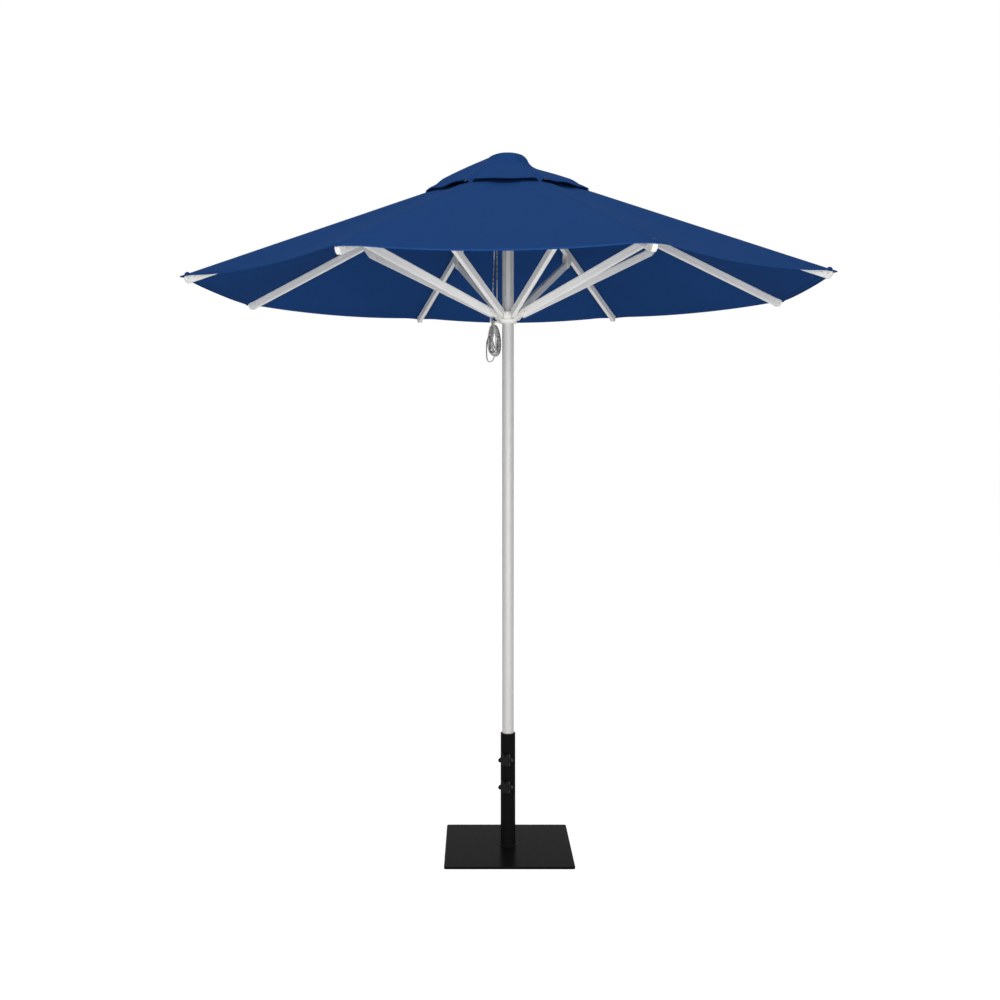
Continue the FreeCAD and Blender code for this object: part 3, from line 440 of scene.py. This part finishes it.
def plain_material(name, base, roughness, patch, grain, depth, metallic=0.0, shine=0.3):
    """Moulded or coated surface: soft patches of tone and a fine grain."""
    made, tree, shader = surface(name, Metallic=metallic, Specular_IOR_Level=shine)
    place = add(tree, "TexCoord").outputs["Object"]
    tree.links.new(mottled(tree, place, base, patch, 0.05), shader.inputs["Base Color"])
    fine = noise(tree, place, grain, 3.0)
    tree.links.new(spread(tree, fine, roughness - 0.05, roughness + 0.07), shader.inputs["Roughness"])
    bumped(tree, shader, fine, depth, 0.6)
    return made


def rope_material(colours):
    """Braided rope: crossing strands on the tube's own UV map, light with dark flecks, and darker where the
    braid is low, which is painted shade in its hollows.
    """
    made, tree, shader = surface("braided_rope", Roughness=0.9, Specular_IOR_Level=0.1)
    coords = add(tree, "TexCoord").outputs
    split = add(tree, "SeparateXYZ", {0: coords["UV"]})
    along, around = split.outputs[0], split.outputs[1]
    one, two = (maths(tree, "SINE", maths(tree, "MULTIPLY", maths(tree, way, along, around), 8 * math.pi))
                for way in ("ADD", "SUBTRACT"))
    braid = maths(tree, "MULTIPLY", one, two)
    flecks = noise(tree, coords["Object"], 150.0, 2.0)
    # Colour from the flecks and the braid's height: the dark flecks are the rope's own, and the darkening
    # where the braid is low is painted shade.
    ramp = add(tree, "ValToRGB", {"Fac": maths(tree, "ADD", maths(tree, "MULTIPLY", braid, 0.35), flecks)})
    stops = ((0.33, colours.rope_fleck_and_braid_shade), (0.57, colours.rope))
    for element, (position, tone) in zip(ramp.color_ramp.elements, stops):
        element.position, element.color = position, rgba(tone)
    tree.links.new(ramp.outputs[0], shader.inputs["Base Color"])
    bumped(tree, shader, braid, 0.0005, 0.8)
    return made


def find_material(name):
    """The finish of that name, which the finishes operator has made."""
    return bpy.data.materials[name]


def finish_node(node, material):
    """Gives a CAD node its finish."""
    for slot in frame["nodes"][node].material_slots:
        slot.link = "OBJECT"
        slot.material = material


# Operators

class UMBRELLA_OT_finishes(bpy.types.Operator):
    """Makes the finishes and puts them on the solid parts"""
    bl_idname = "umbrella.finishes"
    bl_label = "Finishes"

    def execute(self, context):
        colours = context.scene.umbrella_colours
        cloth_material(colours)
        # Above this height the pole gets two lines of painted shade for its grooves.
        pole = tube_material("anodised_pole", colours.pole, 0.1, painted_groove_shade_above=2.239)
        tube = tube_material("pale_tube", colours.tube, 0.0)
        rope_material(colours)
        moulding = plain_material("grey_moulding", colours.moulding, 0.5, 14.0, 900.0, 0.0001)
        pins = plain_material("turned_steel", colours.pins, 0.32, 30.0, 600.0, 0.00005, metallic=0.25)
        steel = plain_material("black_powder_coat", colours.steel, 0.3, 6.0, 700.0, 0.00012, shine=0.008)
        knob = plain_material("black_moulding", colours.knob, 0.42, 30.0, 1200.0, 0.00008, shine=0.08)
        plain_material("blue_moulding", colours.stud, 0.6, 30.0, 900.0, 0.00005, shine=0.05)
        finishes = {
            pole: ["pole"],
            tube: [f"{part}_{i + 1}" for part in ("rib", "strut") for i in range(RIBS)],
            moulding: ["top_hub", "crown_former", "pulley_sheave", "runner"]
            + [f"{part}_{i + 1}" for part in ("rib_fittings", "strut_ends") for i in range(RIBS)],
            pins: ["hub_pins", "sheave_pin", "runner_pins", "rope_hook", "lock_pin"],
            steel: ["base_plate", "base_stem", "clamp_nuts"],
            knob: ["knob_upper", "knob_lower", "pole_foot"],
        }
        for material, nodes in finishes.items():
            for node in nodes:
                finish_node(node, material)
        return {"FINISHED"}


def row_places(inner, outer, hem_rows):
    """Radii of a sheet's rows along its ridge: even, and close together near both ends."""
    even = np.linspace(inner, outer, CANOPY_ROWS)
    near = np.array([0.003, 0.012, 0.03])
    places = np.concatenate([even, inner + near, outer - near, outer - np.array(hem_rows)])
    return np.unique(np.round(places, 6))


def column_places(radius):
    """Distances from the ridge for each row, as a grid: fixed beside the seam, then even shares of the rest
    of the half panel's width."""
    width = radius[:, None] * SIN
    fixed = np.array(SEAM_COLUMNS)[None, :] * np.minimum(1, width / 0.05)
    share = np.linspace(0, 1, PANEL_COLUMNS)[1:]
    rest = fixed[:, -1:] + (width - fixed[:, -1:]) * share[None, :]
    return np.concatenate([fixed, rest], 1)


def panel_grid(radius, distance, side):
    """Places on half a panel beside a ridge at azimuth 0.
    The radius is where the row meets the ridge and the distance is measured from the ridge, square to the
    panel's middle line, so x and y are that line's direction times radius cos(half step), plus the square
    direction times what is left of radius sin(half step) after the distance."""
    out = radius * COS
    left = radius * SIN - distance
    return COS * out + SIN * left, side * (SIN * out - COS * left)


def seam_rise(distance):
    """Two more layers of cloth beside a ridge seam, which end in a soft step: half the height, times one less
    the hyperbolic tangent of the distance past the seam's half width."""
    return SEAM_HEIGHT / 2 * (1 - np.tanh((distance - SEAM_HALF_WIDTH) / SEAM_EDGE))


def panel_slack(azimuth):
    """Share of the droop that the panel in that direction has: the side panels are tight, and the ones in
    front and behind are slack."""
    return np.interp(np.sin(azimuth), (-1, -0.7, 0, 0.7, 1), (1.0, 1.05, 0.2, 0.74, 1.25))


def canopy_height(canopy, radius, distance, azimuth):
    """Height of the main cloth: the ridge's straight fall, less a droop that is nothing on the strip beside
    the ridge and greatest on the middle line of the panel in that direction, plus the seam and small
    puckers beside it."""
    width = radius * SIN
    flat = np.minimum(RIDGE_STRIP, 0.5 * width)
    away = 1 - (1 - np.clip((distance - flat) / (width - flat), 0, 1)) ** 2
    reach = (radius - canopy.vent) / (canopy.radius - canopy.vent)
    droop = VENT_DROOP * (1 - reach) + canopy.sag * panel_slack(azimuth) * reach
    droop = droop + (canopy.bow - DROOP_TAKEN_UP) * 4 * reach * (1 - reach)
    one, two = (np.sin(radius * waves + start) for waves, start in PUCKER_WAVES)
    fold = PUCKER * one * two * np.exp(-distance / PUCKER_FADE) * np.clip(distance / PUCKER_START, 0, 1)
    ridge = canopy.rim + canopy.slope * (canopy.radius - radius)
    return ridge - droop * away + seam_rise(distance) + fold


def both_halves(make, radius):
    """Left and right half panels side by side: from one panel's middle line over the ridge to the next."""
    distance = column_places(radius)
    left = make(distance[:, ::-1], -1)
    right = make(distance, 1)
    across = np.concatenate([-distance[:, ::-1], distance[:, 1:]], 1)
    return np.concatenate([left, right[:, 1:]], 1), across


class UMBRELLA_OT_canopy(bpy.types.Operator):
    """Makes the main canopy: eight gores that meet on the middle lines of the panels, each as the two halves
    that are sewn together on the ridge"""
    bl_idname = "umbrella.canopy"
    bl_label = "Canopy"

    def execute(self, context):
        canopy = context.scene.umbrella_canopy
        for i in range(RIBS):
            self.gore(canopy, i)
        return {"FINISHED"}

    def gore(self, canopy, i):
        """The two halves of one gore. Their rows run along the ridge from the vent to the hem, and five more
        rows go down the hem."""
        azimuth = rib_azimuth(i)
        radius = row_places(canopy.vent, canopy.radius, (0.0015, 0.006, 0.02, 0.024))
        hem = canopy.hem * np.array([0.12, 0.33, 0.58, 0.83, 1])
        rows = np.concatenate([radius, np.full(len(hem), canopy.radius)])
        none, none_at_hem = np.zeros(len(radius)), np.zeros(len(hem))
        fold = np.concatenate([none, hem])[:, None]
        fall = canopy.radius - radius
        double = np.where(fall < HEM_DEPTH, HEM_EXTRA, 0.0)
        raised = np.concatenate([double, none_at_hem])[:, None]
        rounding = np.concatenate([np.where(fall < 0.001, 0.0006, 0.0), none_at_hem])[:, None]

        def drawn(distance):
            """How far the cloth is drawn out: most at the corner, and less beside it and inwards."""
            near = np.clip((rows[:, None] - canopy.radius + POINT_LENGTH) / POINT_LENGTH, 0, 1) ** 2
            return canopy.point * near * np.exp(-(distance / POINT_HALF_WIDTH) ** 2)

        def shallow(distance):
            """The hem's share of its depth: in front it is turned up short at the corner, so that the rib's
            tip shows, and it is full again a hand's width from there."""
            least = np.interp(math.sin(azimuth), (0.2, 0.7), (0.15, 1.0))
            return 1 - (1 - least) * np.exp(-distance / TIP_SHOWS)

        def make(distance, side):
            """Upper face: the cloth's height, raised by the doubled hem, and folded down at the rim."""
            x, y = panel_grid(rows[:, None], distance, side)
            panel = azimuth + side * HALF_STEP
            z = canopy_height(canopy, rows[:, None], distance, panel) + raised - rounding
            z = z - fold * shallow(distance)
            far = drawn(distance)
            return np.stack([x + far, y, z - canopy.slope * far], -1)

        inset = np.concatenate([np.where(fall < 0.004, HEM_INSET, 0.0), np.full(len(hem), HEM_INSET)])
        inner_rows = rows - inset
        thick = np.concatenate([canopy.thick + 2 * double, none_at_hem])[:, None]
        soften = np.concatenate([none, [-0.0022, -0.001, 0, 0, 0]])[:, None]

        def make_lower(distance, side):
            """Lower face: the cloth's thickness below, and at the hem a little inside the upper one."""
            x, y = panel_grid(inner_rows[:, None], distance * (inner_rows / rows)[:, None], side)
            panel = azimuth + side * HALF_STEP
            z = canopy_height(canopy, rows[:, None], distance, panel) - 1.6 * seam_rise(distance)
            far = drawn(distance)
            z = z - thick * math.sqrt(1 + canopy.slope ** 2) - fold * shallow(distance) + soften
            return np.stack([x + far, y, z - canopy.slope * far], -1)

        distance = column_places(rows)
        for side, half in ((-1, "left"), (1, "right")):
            order = slice(None, None, side)
            upper, lower = (made(distance, side)[:, order] for made in (make, make_lower))
            across = side * distance[:, order]
            inward = np.concatenate([fall, -hem])[:, None] + 0 * across
            upper, lower, uv = turn(upper, azimuth), turn(lower, azimuth), np.stack([across, inward], -1)
            piece = cloth_shell(f"canopy_gore_cloth_{i + 1}_{half}", upper, lower, uv, f"rib_{i + 1}",
                                find_material("woven_cloth"))
            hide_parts(f"canopy_gore_{i + 1}")
            fold_half(piece)


def fold_half(piece):
    """Gives the cloth on one side of a rib a mesh of its own."""
    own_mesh(piece)


def fold_with_rib(piece):
    """Gives the cloth beside a rib a mesh of its own."""
    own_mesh(piece)


def slackness(azimuth):
    """How slack the vent cap is: taut on the rope's side, and slack on the other."""
    return 0.5 + 0.5 * np.cos(azimuth)


def cap_height(canopy, radius, azimuth):
    """Height of the vent cap over a ridge radius: a straight fall from the crown, slightly full where the cap
    is taut, less a hollow outside the crown and a dip at its edge that grow with the slackness there."""
    share = np.clip((radius - canopy.crown) / (canopy.cap - canopy.crown), 0, 1)
    straight = canopy.crown_rim + (canopy.cap_rim - canopy.crown_rim) * share
    full = CAP_FULLNESS * 4 * share * (1 - share) * (1 - slackness(azimuth))
    hollow = canopy.slack * (1 - share) ** 1.6 * (1 - np.exp(-share / 0.06))
    dip = CAP_CROWN_DIP * np.exp(-share / 0.05)
    return straight + full - (hollow + dip) * slackness(azimuth)


class UMBRELLA_OT_vent_cap(bpy.types.Operator):
    """Makes the vent cap: eight gores over the opening, sewn down at their corners, each cut in two so that
    it can bend over the hub, and the cloth over the crown"""
    bl_idname = "umbrella.vent_cap"
    bl_label = "Vent cap"

    def execute(self, context):
        canopy = context.scene.umbrella_canopy
        for i in range(RIBS):
            self.gore(canopy, i)
        self.crown(canopy)
        return {"FINISHED"}

    def gore(self, canopy, i):
        """One gore of the cap, cut in two where the ridge radius passes the split: the upper part rides on no
        body, and the lower part stays with the rib."""
        azimuth = rib_azimuth(i)
        even = np.linspace(canopy.crown, canopy.cap, CAP_ROWS)
        near = canopy.cap - np.array([0.002, 0.006, 0.012, 0.018])
        radius = np.unique(np.round(np.concatenate([even, near]), 6))
        hem = np.array([0.001, 0.003])
        rows = np.concatenate([radius, np.full(len(hem), canopy.cap)])
        drop = np.concatenate([np.zeros(len(radius)), hem])[:, None]
        fall = canopy.cap - radius
        double = np.where(fall < CAP_HEM_DEPTH, CAP_HEM_EXTRA, 0.0)
        double = np.concatenate([double, np.full(len(hem), CAP_HEM_FOLD)])[:, None]

        def make(distance, side):
            """The cap's height, less a bow between the ridges that is greatest half way out, with waves and a
            sag to the sides that grow towards the edge. Near its corners the cap is drawn down onto the
            canopy's ridge, by a share that falls off with the distance from it."""
            x, y = panel_grid(rows[:, None], distance, side)
            where = np.arctan2(y, x) + azimuth
            away = 1 - (1 - distance / (rows[:, None] * SIN)) ** 2
            share = (rows[:, None] - canopy.crown) / (canopy.cap - canopy.crown)
            z = cap_height(canopy, rows[:, None], where)
            wave = CAP_WAVE * np.sin(CAP_WAVES * where + CAP_WAVE_START)
            wave = wave * (0.15 + 0.85 * np.abs(np.cos(where)))
            z = z - CAP_BOW * away * 4 * share * (1 - share) + wave * away * share ** 8
            z = z - CAP_SIDE_SAG * np.cos(where) ** 4 * share ** 3 * np.sqrt(away)
            sewn = 0.5 - 0.5 * np.tanh((distance - SEWN_HALF_WIDTH) / SEWN_EDGE)
            sewn = sewn * np.clip((share - SEWN_FROM) / SEWN_OVER, 0, 1) ** 1.5
            ridge = canopy.rim + canopy.slope * (canopy.radius - rows[:, None])
            down = z - (ridge + SEWN_GAP)
            z = z - sewn * down + seam_rise(distance) * (1 - sewn) + double - drop
            return np.stack([x, y, np.broadcast_to(z, x.shape)], -1)

        upper, across = both_halves(make, rows)
        lower = upper.copy()
        lower[..., 2] -= canopy.thick * 1.15 + CAP_HEM_EXTRA * (double > 0)
        inward = np.concatenate([fall, -hem])[:, None] + 0.012 + 0 * across
        upper, lower, uv = turn(upper, azimuth), turn(lower, azimuth), np.stack([across, inward], -1)
        split = int(np.searchsorted(radius, canopy.cap_split))
        for name, part, body in (("vent_cap_top_cloth", slice(0, split + 1), None),
                                 ("vent_cap_cloth", slice(split, None), f"rib_{i + 1}")):
            piece = cloth_shell(f"{name}_{i + 1}", upper[part], lower[part], uv[part], body,
                                find_material("woven_cloth"))
            near, far = rows[part][0], rows[part][-1]
            if body:
                fold_with_rib(piece)
            else:
                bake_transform(piece)

    def crown(self, canopy):
        """Cloth over the crown: rings that are octagons at its edge and circles in the middle. The height is
        the crown's, less a share of the fall to the edge: 0.12 of it grows with the square of the radius, and
        0.88 with its power of 4.5."""
        azimuths, outline = [], []
        for i in range(RIBS):
            distance = column_places(np.array([canopy.crown]))
            for side, columns in ((-1, distance[0, ::-1]), (1, distance[0, 1:-1])):
                x, y = panel_grid(canopy.crown, columns, side)
                azimuths.append(np.arctan2(y, x) + rib_azimuth(i))
                outline.append(np.hypot(x, y))
        azimuth, edge = np.concatenate(azimuths), np.concatenate(outline)
        share = np.linspace(1, 0.02, CROWN_RINGS)[:, None]
        inner = canopy.crown * math.cos(HALF_STEP / 2)
        reach = share * (inner * (1 - share ** 3) + edge[None, :] * share ** 3)
        rim = cap_height(canopy, canopy.crown, azimuth)[None, :]
        z = canopy.top - (canopy.top - rim) * (0.12 * share ** 2 + 0.88 * share ** 4.5)
        points = np.stack([reach * np.cos(azimuth), reach * np.sin(azimuth), z], -1)
        rows, columns = points.shape[:2]
        sheet = np.concatenate([points.reshape(-1, 3), [[0, 0, canopy.top]]])
        count = len(sheet)
        ring = np.arange(columns)
        last = ring + (rows - 1) * columns
        upper = grid_faces(rows, columns, around=True)[:, ::-1].tolist()
        upper += np.stack([last, np.roll(last, -1), np.full(columns, count - 1)], -1).tolist()
        lower = [[k + count for k in face[::-1]] for face in upper]
        rim = np.stack([ring + count, np.roll(ring, -1) + count, np.roll(ring, -1), ring], -1).tolist()
        both = np.concatenate([sheet, sheet - [0, 0, canopy.thick]])
        piece = new_piece("crown_cloth", both, upper + lower + rim, "mast", find_material("woven_cloth"),
                          both[:, :2] + 0.05)
        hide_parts("crown_cover")


# The hank's turns, in metres out from the pole's axis and up from the hook: middle, top, bottom, half width
# and depth to the front, and how far the turn leans. They differ because the hank is wound by hand.
HANK_TURNS = np.array([
    (0.0570, -0.010, -0.134, 0.0265, -0.0110, 0.00),
    (0.0540, -0.014, -0.141, 0.0240, -0.0085, 0.05),
    (0.0580, -0.012, -0.118, 0.0110, -0.0055, -0.20),
    (0.0500, -0.018, -0.128, 0.0150, -0.0030, 0.06),
    (0.0580, -0.010, -0.137, 0.0255, 0.0000, 0.02),
    (0.0560, -0.020, -0.110, 0.0090, 0.0025, 0.22),
    (0.0560, -0.011, -0.129, 0.0190, 0.0050, 0.14),
    (0.0500, -0.030, -0.142, 0.0140, 0.0075, -0.06),
    (0.0580, -0.035, -0.124, 0.0100, 0.0095, -0.18),
    (0.0690, -0.060, -0.171, 0.0185, 0.0115, 0.00),
])


class UMBRELLA_OT_rope(bpy.types.Operator):
    """Makes the lift rope over its sheave and the hank on the runner's hook"""
    bl_idname = "umbrella.rope"
    bl_label = "Rope"

    def execute(self, context):
        sizes = context.scene.umbrella_rope
        hook = HOOK_BOTTOM + sizes.hook / 2
        self.falls(sizes, hook)
        self.hank(sizes, hook)
        return {"FINISHED"}

    def falls(self, sizes, hook):
        """Straight up from the runner, over the sheave, and down at a slant to the hook."""
        radius = math.hypot(*SHEAVE["pos_m"][:2])
        top = SHEAVE["pos_m"][2] + sizes.pitch
        foot = RUNNER_TOP + ROPE_CLEARANCE
        p, end = sizes.pitch, hook + sizes.hook / 2 + ROPE_CLEARANCE
        route = turn(np.array([
            (radius, -p, foot), (radius, -p, foot + 0.03), (radius, -p, top - 0.03), (radius, -p, top),
            (radius, p, top), (radius, p, top - 0.022), (0.0642, p, end + 0.03), (HOOK_PLACE, p, end),
        ]), ROPE_AZIMUTH)
        piece = self.rope("lift_rope_braid", route, sizes, "mast", "lift_rope")

    def hank(self, sizes, hook):
        """The spare rope: wraps round the hook and the tops of the turns, then the turns, then a knot. A wrap
        is an oval across the hook. A turn is an upright oval: across it goes with the cosine of the angle,
        and up it goes with the sine and with a hyperbolic tangent of the sine, which keeps its sides
        straight. Towards the top the turns draw together, where the wraps hold them."""
        angle = np.radians(np.arange(60, -811, -30))
        share = np.linspace(0, 1, len(angle))
        out = HOOK_PLACE - 0.0105 * share
        wraps = np.stack([out, 0.0115 * np.cos(angle), 0.0155 * np.sin(angle) - 0.009], -1)
        count = len(HANK_TURNS)
        part = np.arange(round((count - 0.05) * sizes.turn_points)) / sizes.turn_points
        middle, top, bottom, half, front, lean = (
            np.interp(part, np.arange(count) + 0.5, column) for column in HANK_TURNS.T)
        angle = 0.85 * math.pi + 2 * math.pi * part
        tall = (top - bottom) / 2 - 0.9 * half
        sine = np.sin(angle)
        up = (top + bottom) / 2 + 0.9 * half * sine + tall * np.tanh(2 * sine) / math.tanh(2)
        low = np.clip((-up - 0.015) / 0.06, 0, 1)
        across = middle + half * (0.72 + 0.28 * low) * np.cos(angle) + lean * (up - (top + bottom) / 2)
        turns = np.stack([across, front * (0.5 + 0.5 * low), up], -1)
        route = turn(np.concatenate([wraps, turns]), ROPE_AZIMUTH) + [0, 0, hook]
        piece = self.rope("rope_hank_braid", route, sizes, "runner", "rope_hank")
        self.knot(route[-1], sizes)

    def knot(self, place, sizes):
        """Overhand knot on the rope's end: a closed trefoil, flat towards the front."""
        t = np.linspace(0, 2 * math.pi, 30, endpoint=False)
        points = np.stack([np.sin(t) + 2 * np.sin(2 * t), -np.sin(3 * t), np.cos(t) - 2 * np.cos(2 * t)], -1)
        curve = self.curve("rope_knot", points * KNOT_SCALE + place, sizes, closed=True)
        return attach(curve, "runner")

    def curve(self, name, route, sizes, closed=False):
        """A round tube on a smooth curve through the route."""
        curve = bpy.data.curves.new(name, "CURVE")
        curve.dimensions = "3D"
        spline = curve.splines.new("NURBS")
        spline.points.add(len(route) - 1)
        spline.points.foreach_set("co", np.c_[route, np.ones(len(route))].astype(np.float32).ravel())
        spline.order_u = 3
        spline.use_endpoint_u = not closed
        spline.use_cyclic_u = closed
        spline.resolution_u = 6
        curve.bevel_depth = sizes.diameter / 2
        curve.bevel_resolution = 3
        curve.use_fill_caps = not closed
        curve.materials.append(find_material("braided_rope"))
        return in_scene(name, curve)

    def rope(self, name, route, sizes, body, node):
        """A length of rope that rides on a body in place of a node."""
        piece = self.curve(name, route, sizes)
        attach(piece, body)
        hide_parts(node)
        return piece


class UMBRELLA_OT_studs(bpy.types.Operator):
    """Makes the studs on the canopy's corners and the rivets in the ribs' and struts' ends"""
    bl_idname = "umbrella.studs"
    bl_label = "Studs and rivets"

    def execute(self, context):
        canopy, sizes = context.scene.umbrella_canopy, context.scene.umbrella_studs
        for i in range(RIBS):
            azimuth = rib_azimuth(i)
            radius = canopy.radius - sizes.inside
            top = canopy.rim + canopy.slope * sizes.inside
            out = np.array([math.cos(azimuth), math.sin(azimuth), 0])
            lean = (canopy.slope * out[0], canopy.slope * out[1], 1)
            place = (radius * out + [0, 0, top], lean, STUD_DEPTH)
            stud = domes(f"corner_stud_{i + 1}", [place], sizes.stud / 2, sizes.stud_height, f"rib_{i + 1}",
                         find_material("blue_moulding"))
            hub_pin = np.array(JOINTS[f"rib_{i + 1}_fold"]["pos_m"])
            strut_pin = np.array(JOINTS[f"strut_{i + 1}_fold"]["pos_m"])
            runner_pin = np.array([hub_pin[0], hub_pin[1], 2 * strut_pin[2] - hub_pin[2]])
            down = out / math.hypot(1, canopy.slope) - [0, 0, math.sin(math.atan(canopy.slope))]
            distances = (RIB_RIVET, *(sizes.rib_length - back for back in TIP_RIVETS))
            self.rivets(f"rib_rivets_{i + 1}", hub_pin, down, distances, out, sizes, f"rib_{i + 1}")
            arm = strut_pin - runner_pin
            long = float(np.linalg.norm(arm))
            distances = (STRUT_RIVET, long - STRUT_END_RIVET)
            self.rivets(f"strut_rivets_{i + 1}", runner_pin, arm / long, distances, out, sizes,
                        f"strut_{i + 1}")
        return {"FINISHED"}

    def rivets(self, name, pin, along, distances, out, sizes, body):
        """A rivet on each side of a tube at each distance from its pin."""
        side = np.array([-out[1], out[0], 0])
        places = [(pin + along * distance + side * way * sizes.tube / 2, side * way, RIVET_DEPTH)
                  for distance in distances for way in (-1, 1)]
        piece = domes(name, places, sizes.rivet / 2, sizes.rivet_height, body,
                      find_material("turned_steel"), steps=14, rings=4)
        return piece


class UMBRELLA_OT_stage(bpy.types.Operator):
    """Makes the floor, the lamps, the white surroundings and the camera"""
    bl_idname = "umbrella.stage"
    bl_label = "Stage"

    def execute(self, context):
        context.scene.view_settings.view_transform = "Standard"
        self.floor()
        self.world(context.scene)
        self.lamp("key", (-0.8, -3.0, 6.6), 3.6, 3.6, 110.0)
        self.lamp("back", (0.4, 2.8, 6.6), 3.6, 3.6, 80.0)
        self.lamp("front", (0.3, -6.0, 1.3), 8.0, 2.4, 285.0)
        self.camera(context.scene)
        return {"FINISHED"}

    def floor(self):
        """Pale matt floor that also glows for the camera, so that it is white wherever it is seen."""
        mesh = bpy.data.meshes.new("floor")
        half = 60.0
        corners = [(-half, -half, 0), (half, -half, 0), (half, half, 0), (-half, half, 0)]
        mesh.from_pydata(corners, [], [(0, 1, 2, 3)])
        floor = in_scene("floor", mesh)
        made = bpy.data.materials.new("pale_floor")
        tree = empty_tree(made)
        diffuse = add(tree, "BsdfDiffuse", {"Color": (0.86, 0.86, 0.86, 1)})
        glow = add(tree, "Emission", {"Color": (1, 1, 1, 1), "Strength": 0.75})
        both = add(tree, "AddShader", {0: diffuse.outputs[0], 1: glow.outputs[0]})
        mix = add(tree, "MixShader", {"Fac": seen_rays(tree), 1: diffuse.outputs[0], 2: both.outputs[0]})
        add(tree, "OutputMaterial", {"Surface": mix.outputs[0]})
        mesh.materials.append(made)

    def world(self, scene):
        """White to look at, and dimmer as a light."""
        scene.world = bpy.data.worlds.new("studio")
        tree = empty_tree(scene.world)
        strength = add(tree, "MapRange", {"Value": seen_rays(tree), "To Min": 0.3, "To Max": 1.0})
        back = add(tree, "Background", {"Color": (1, 1, 1, 1), "Strength": strength.outputs[0]})
        add(tree, "OutputWorld", {"Surface": back.outputs[0]})

    def lamp(self, name, place, wide, tall, power):
        """A wide lamp that looks at the middle of the umbrella."""
        data = bpy.data.lights.new(name, "AREA")
        data.shape = "RECTANGLE"
        data.size, data.size_y, data.energy = wide, tall, power
        lamp = in_scene(name, data)
        lamp.location = place
        aim = Vector((0, 0, 1.6)) - Vector(place)
        lamp.rotation_euler = aim.to_track_quat("-Z", "Y").to_euler()

    def camera(self, scene):
        """A level camera in front of the umbrella, a little to its left."""
        data = bpy.data.cameras.new("camera")
        data.sensor_width = 36
        data.lens = 43.6
        data.shift_x, data.shift_y = 0.0229, -0.067
        camera = in_scene("camera", data)
        camera.location = (-0.1257, -4.932, 1.6855)
        camera.rotation_euler = (math.pi / 2, 0, 0)
        scene.camera = camera


class UMBRELLA_PT_panel(bpy.types.Panel):
    """Buttons for the operators, and the settings"""
    bl_label = "Patio umbrella"
    bl_idname = "UMBRELLA_PT_panel"
    bl_space_type = "VIEW_3D"
    bl_region_type = "UI"
    bl_category = "Umbrella"

    def draw(self, context):
        for operator in OPERATORS:
            self.layout.operator(operator.bl_idname)
        for group in SETTINGS:
            settings = getattr(context.scene, group)
            box = self.layout.box()
            for name in settings.__annotations__:
                box.prop(settings, name)


OPERATORS = (
    UMBRELLA_OT_stage,
    UMBRELLA_OT_finishes,
    UMBRELLA_OT_rope,
    UMBRELLA_OT_canopy,
    UMBRELLA_OT_vent_cap,
    UMBRELLA_OT_studs,
)
SETTINGS = {
    "umbrella_canopy": CanopySizes,
    "umbrella_rope": RopeSizes,
    "umbrella_studs": StudSizes,
    "umbrella_colours": Colours,
}
CLASSES = (*SETTINGS.values(), *OPERATORS, UMBRELLA_PT_panel)


def register():
    for cls in CLASSES:
        bpy.utils.register_class(cls)
    for name, group in SETTINGS.items():
        setattr(bpy.types.Scene, name, PointerProperty(type=group))


def unregister():
    for name in SETTINGS:
        delattr(bpy.types.Scene, name)
    for cls in reversed(CLASSES):
        bpy.utils.unregister_class(cls)


def main():
    register()
    for operator in OPERATORS:
        getattr(bpy.ops.umbrella, operator.bl_idname.split(".")[1])()


if __name__ == "__main__":
    main()
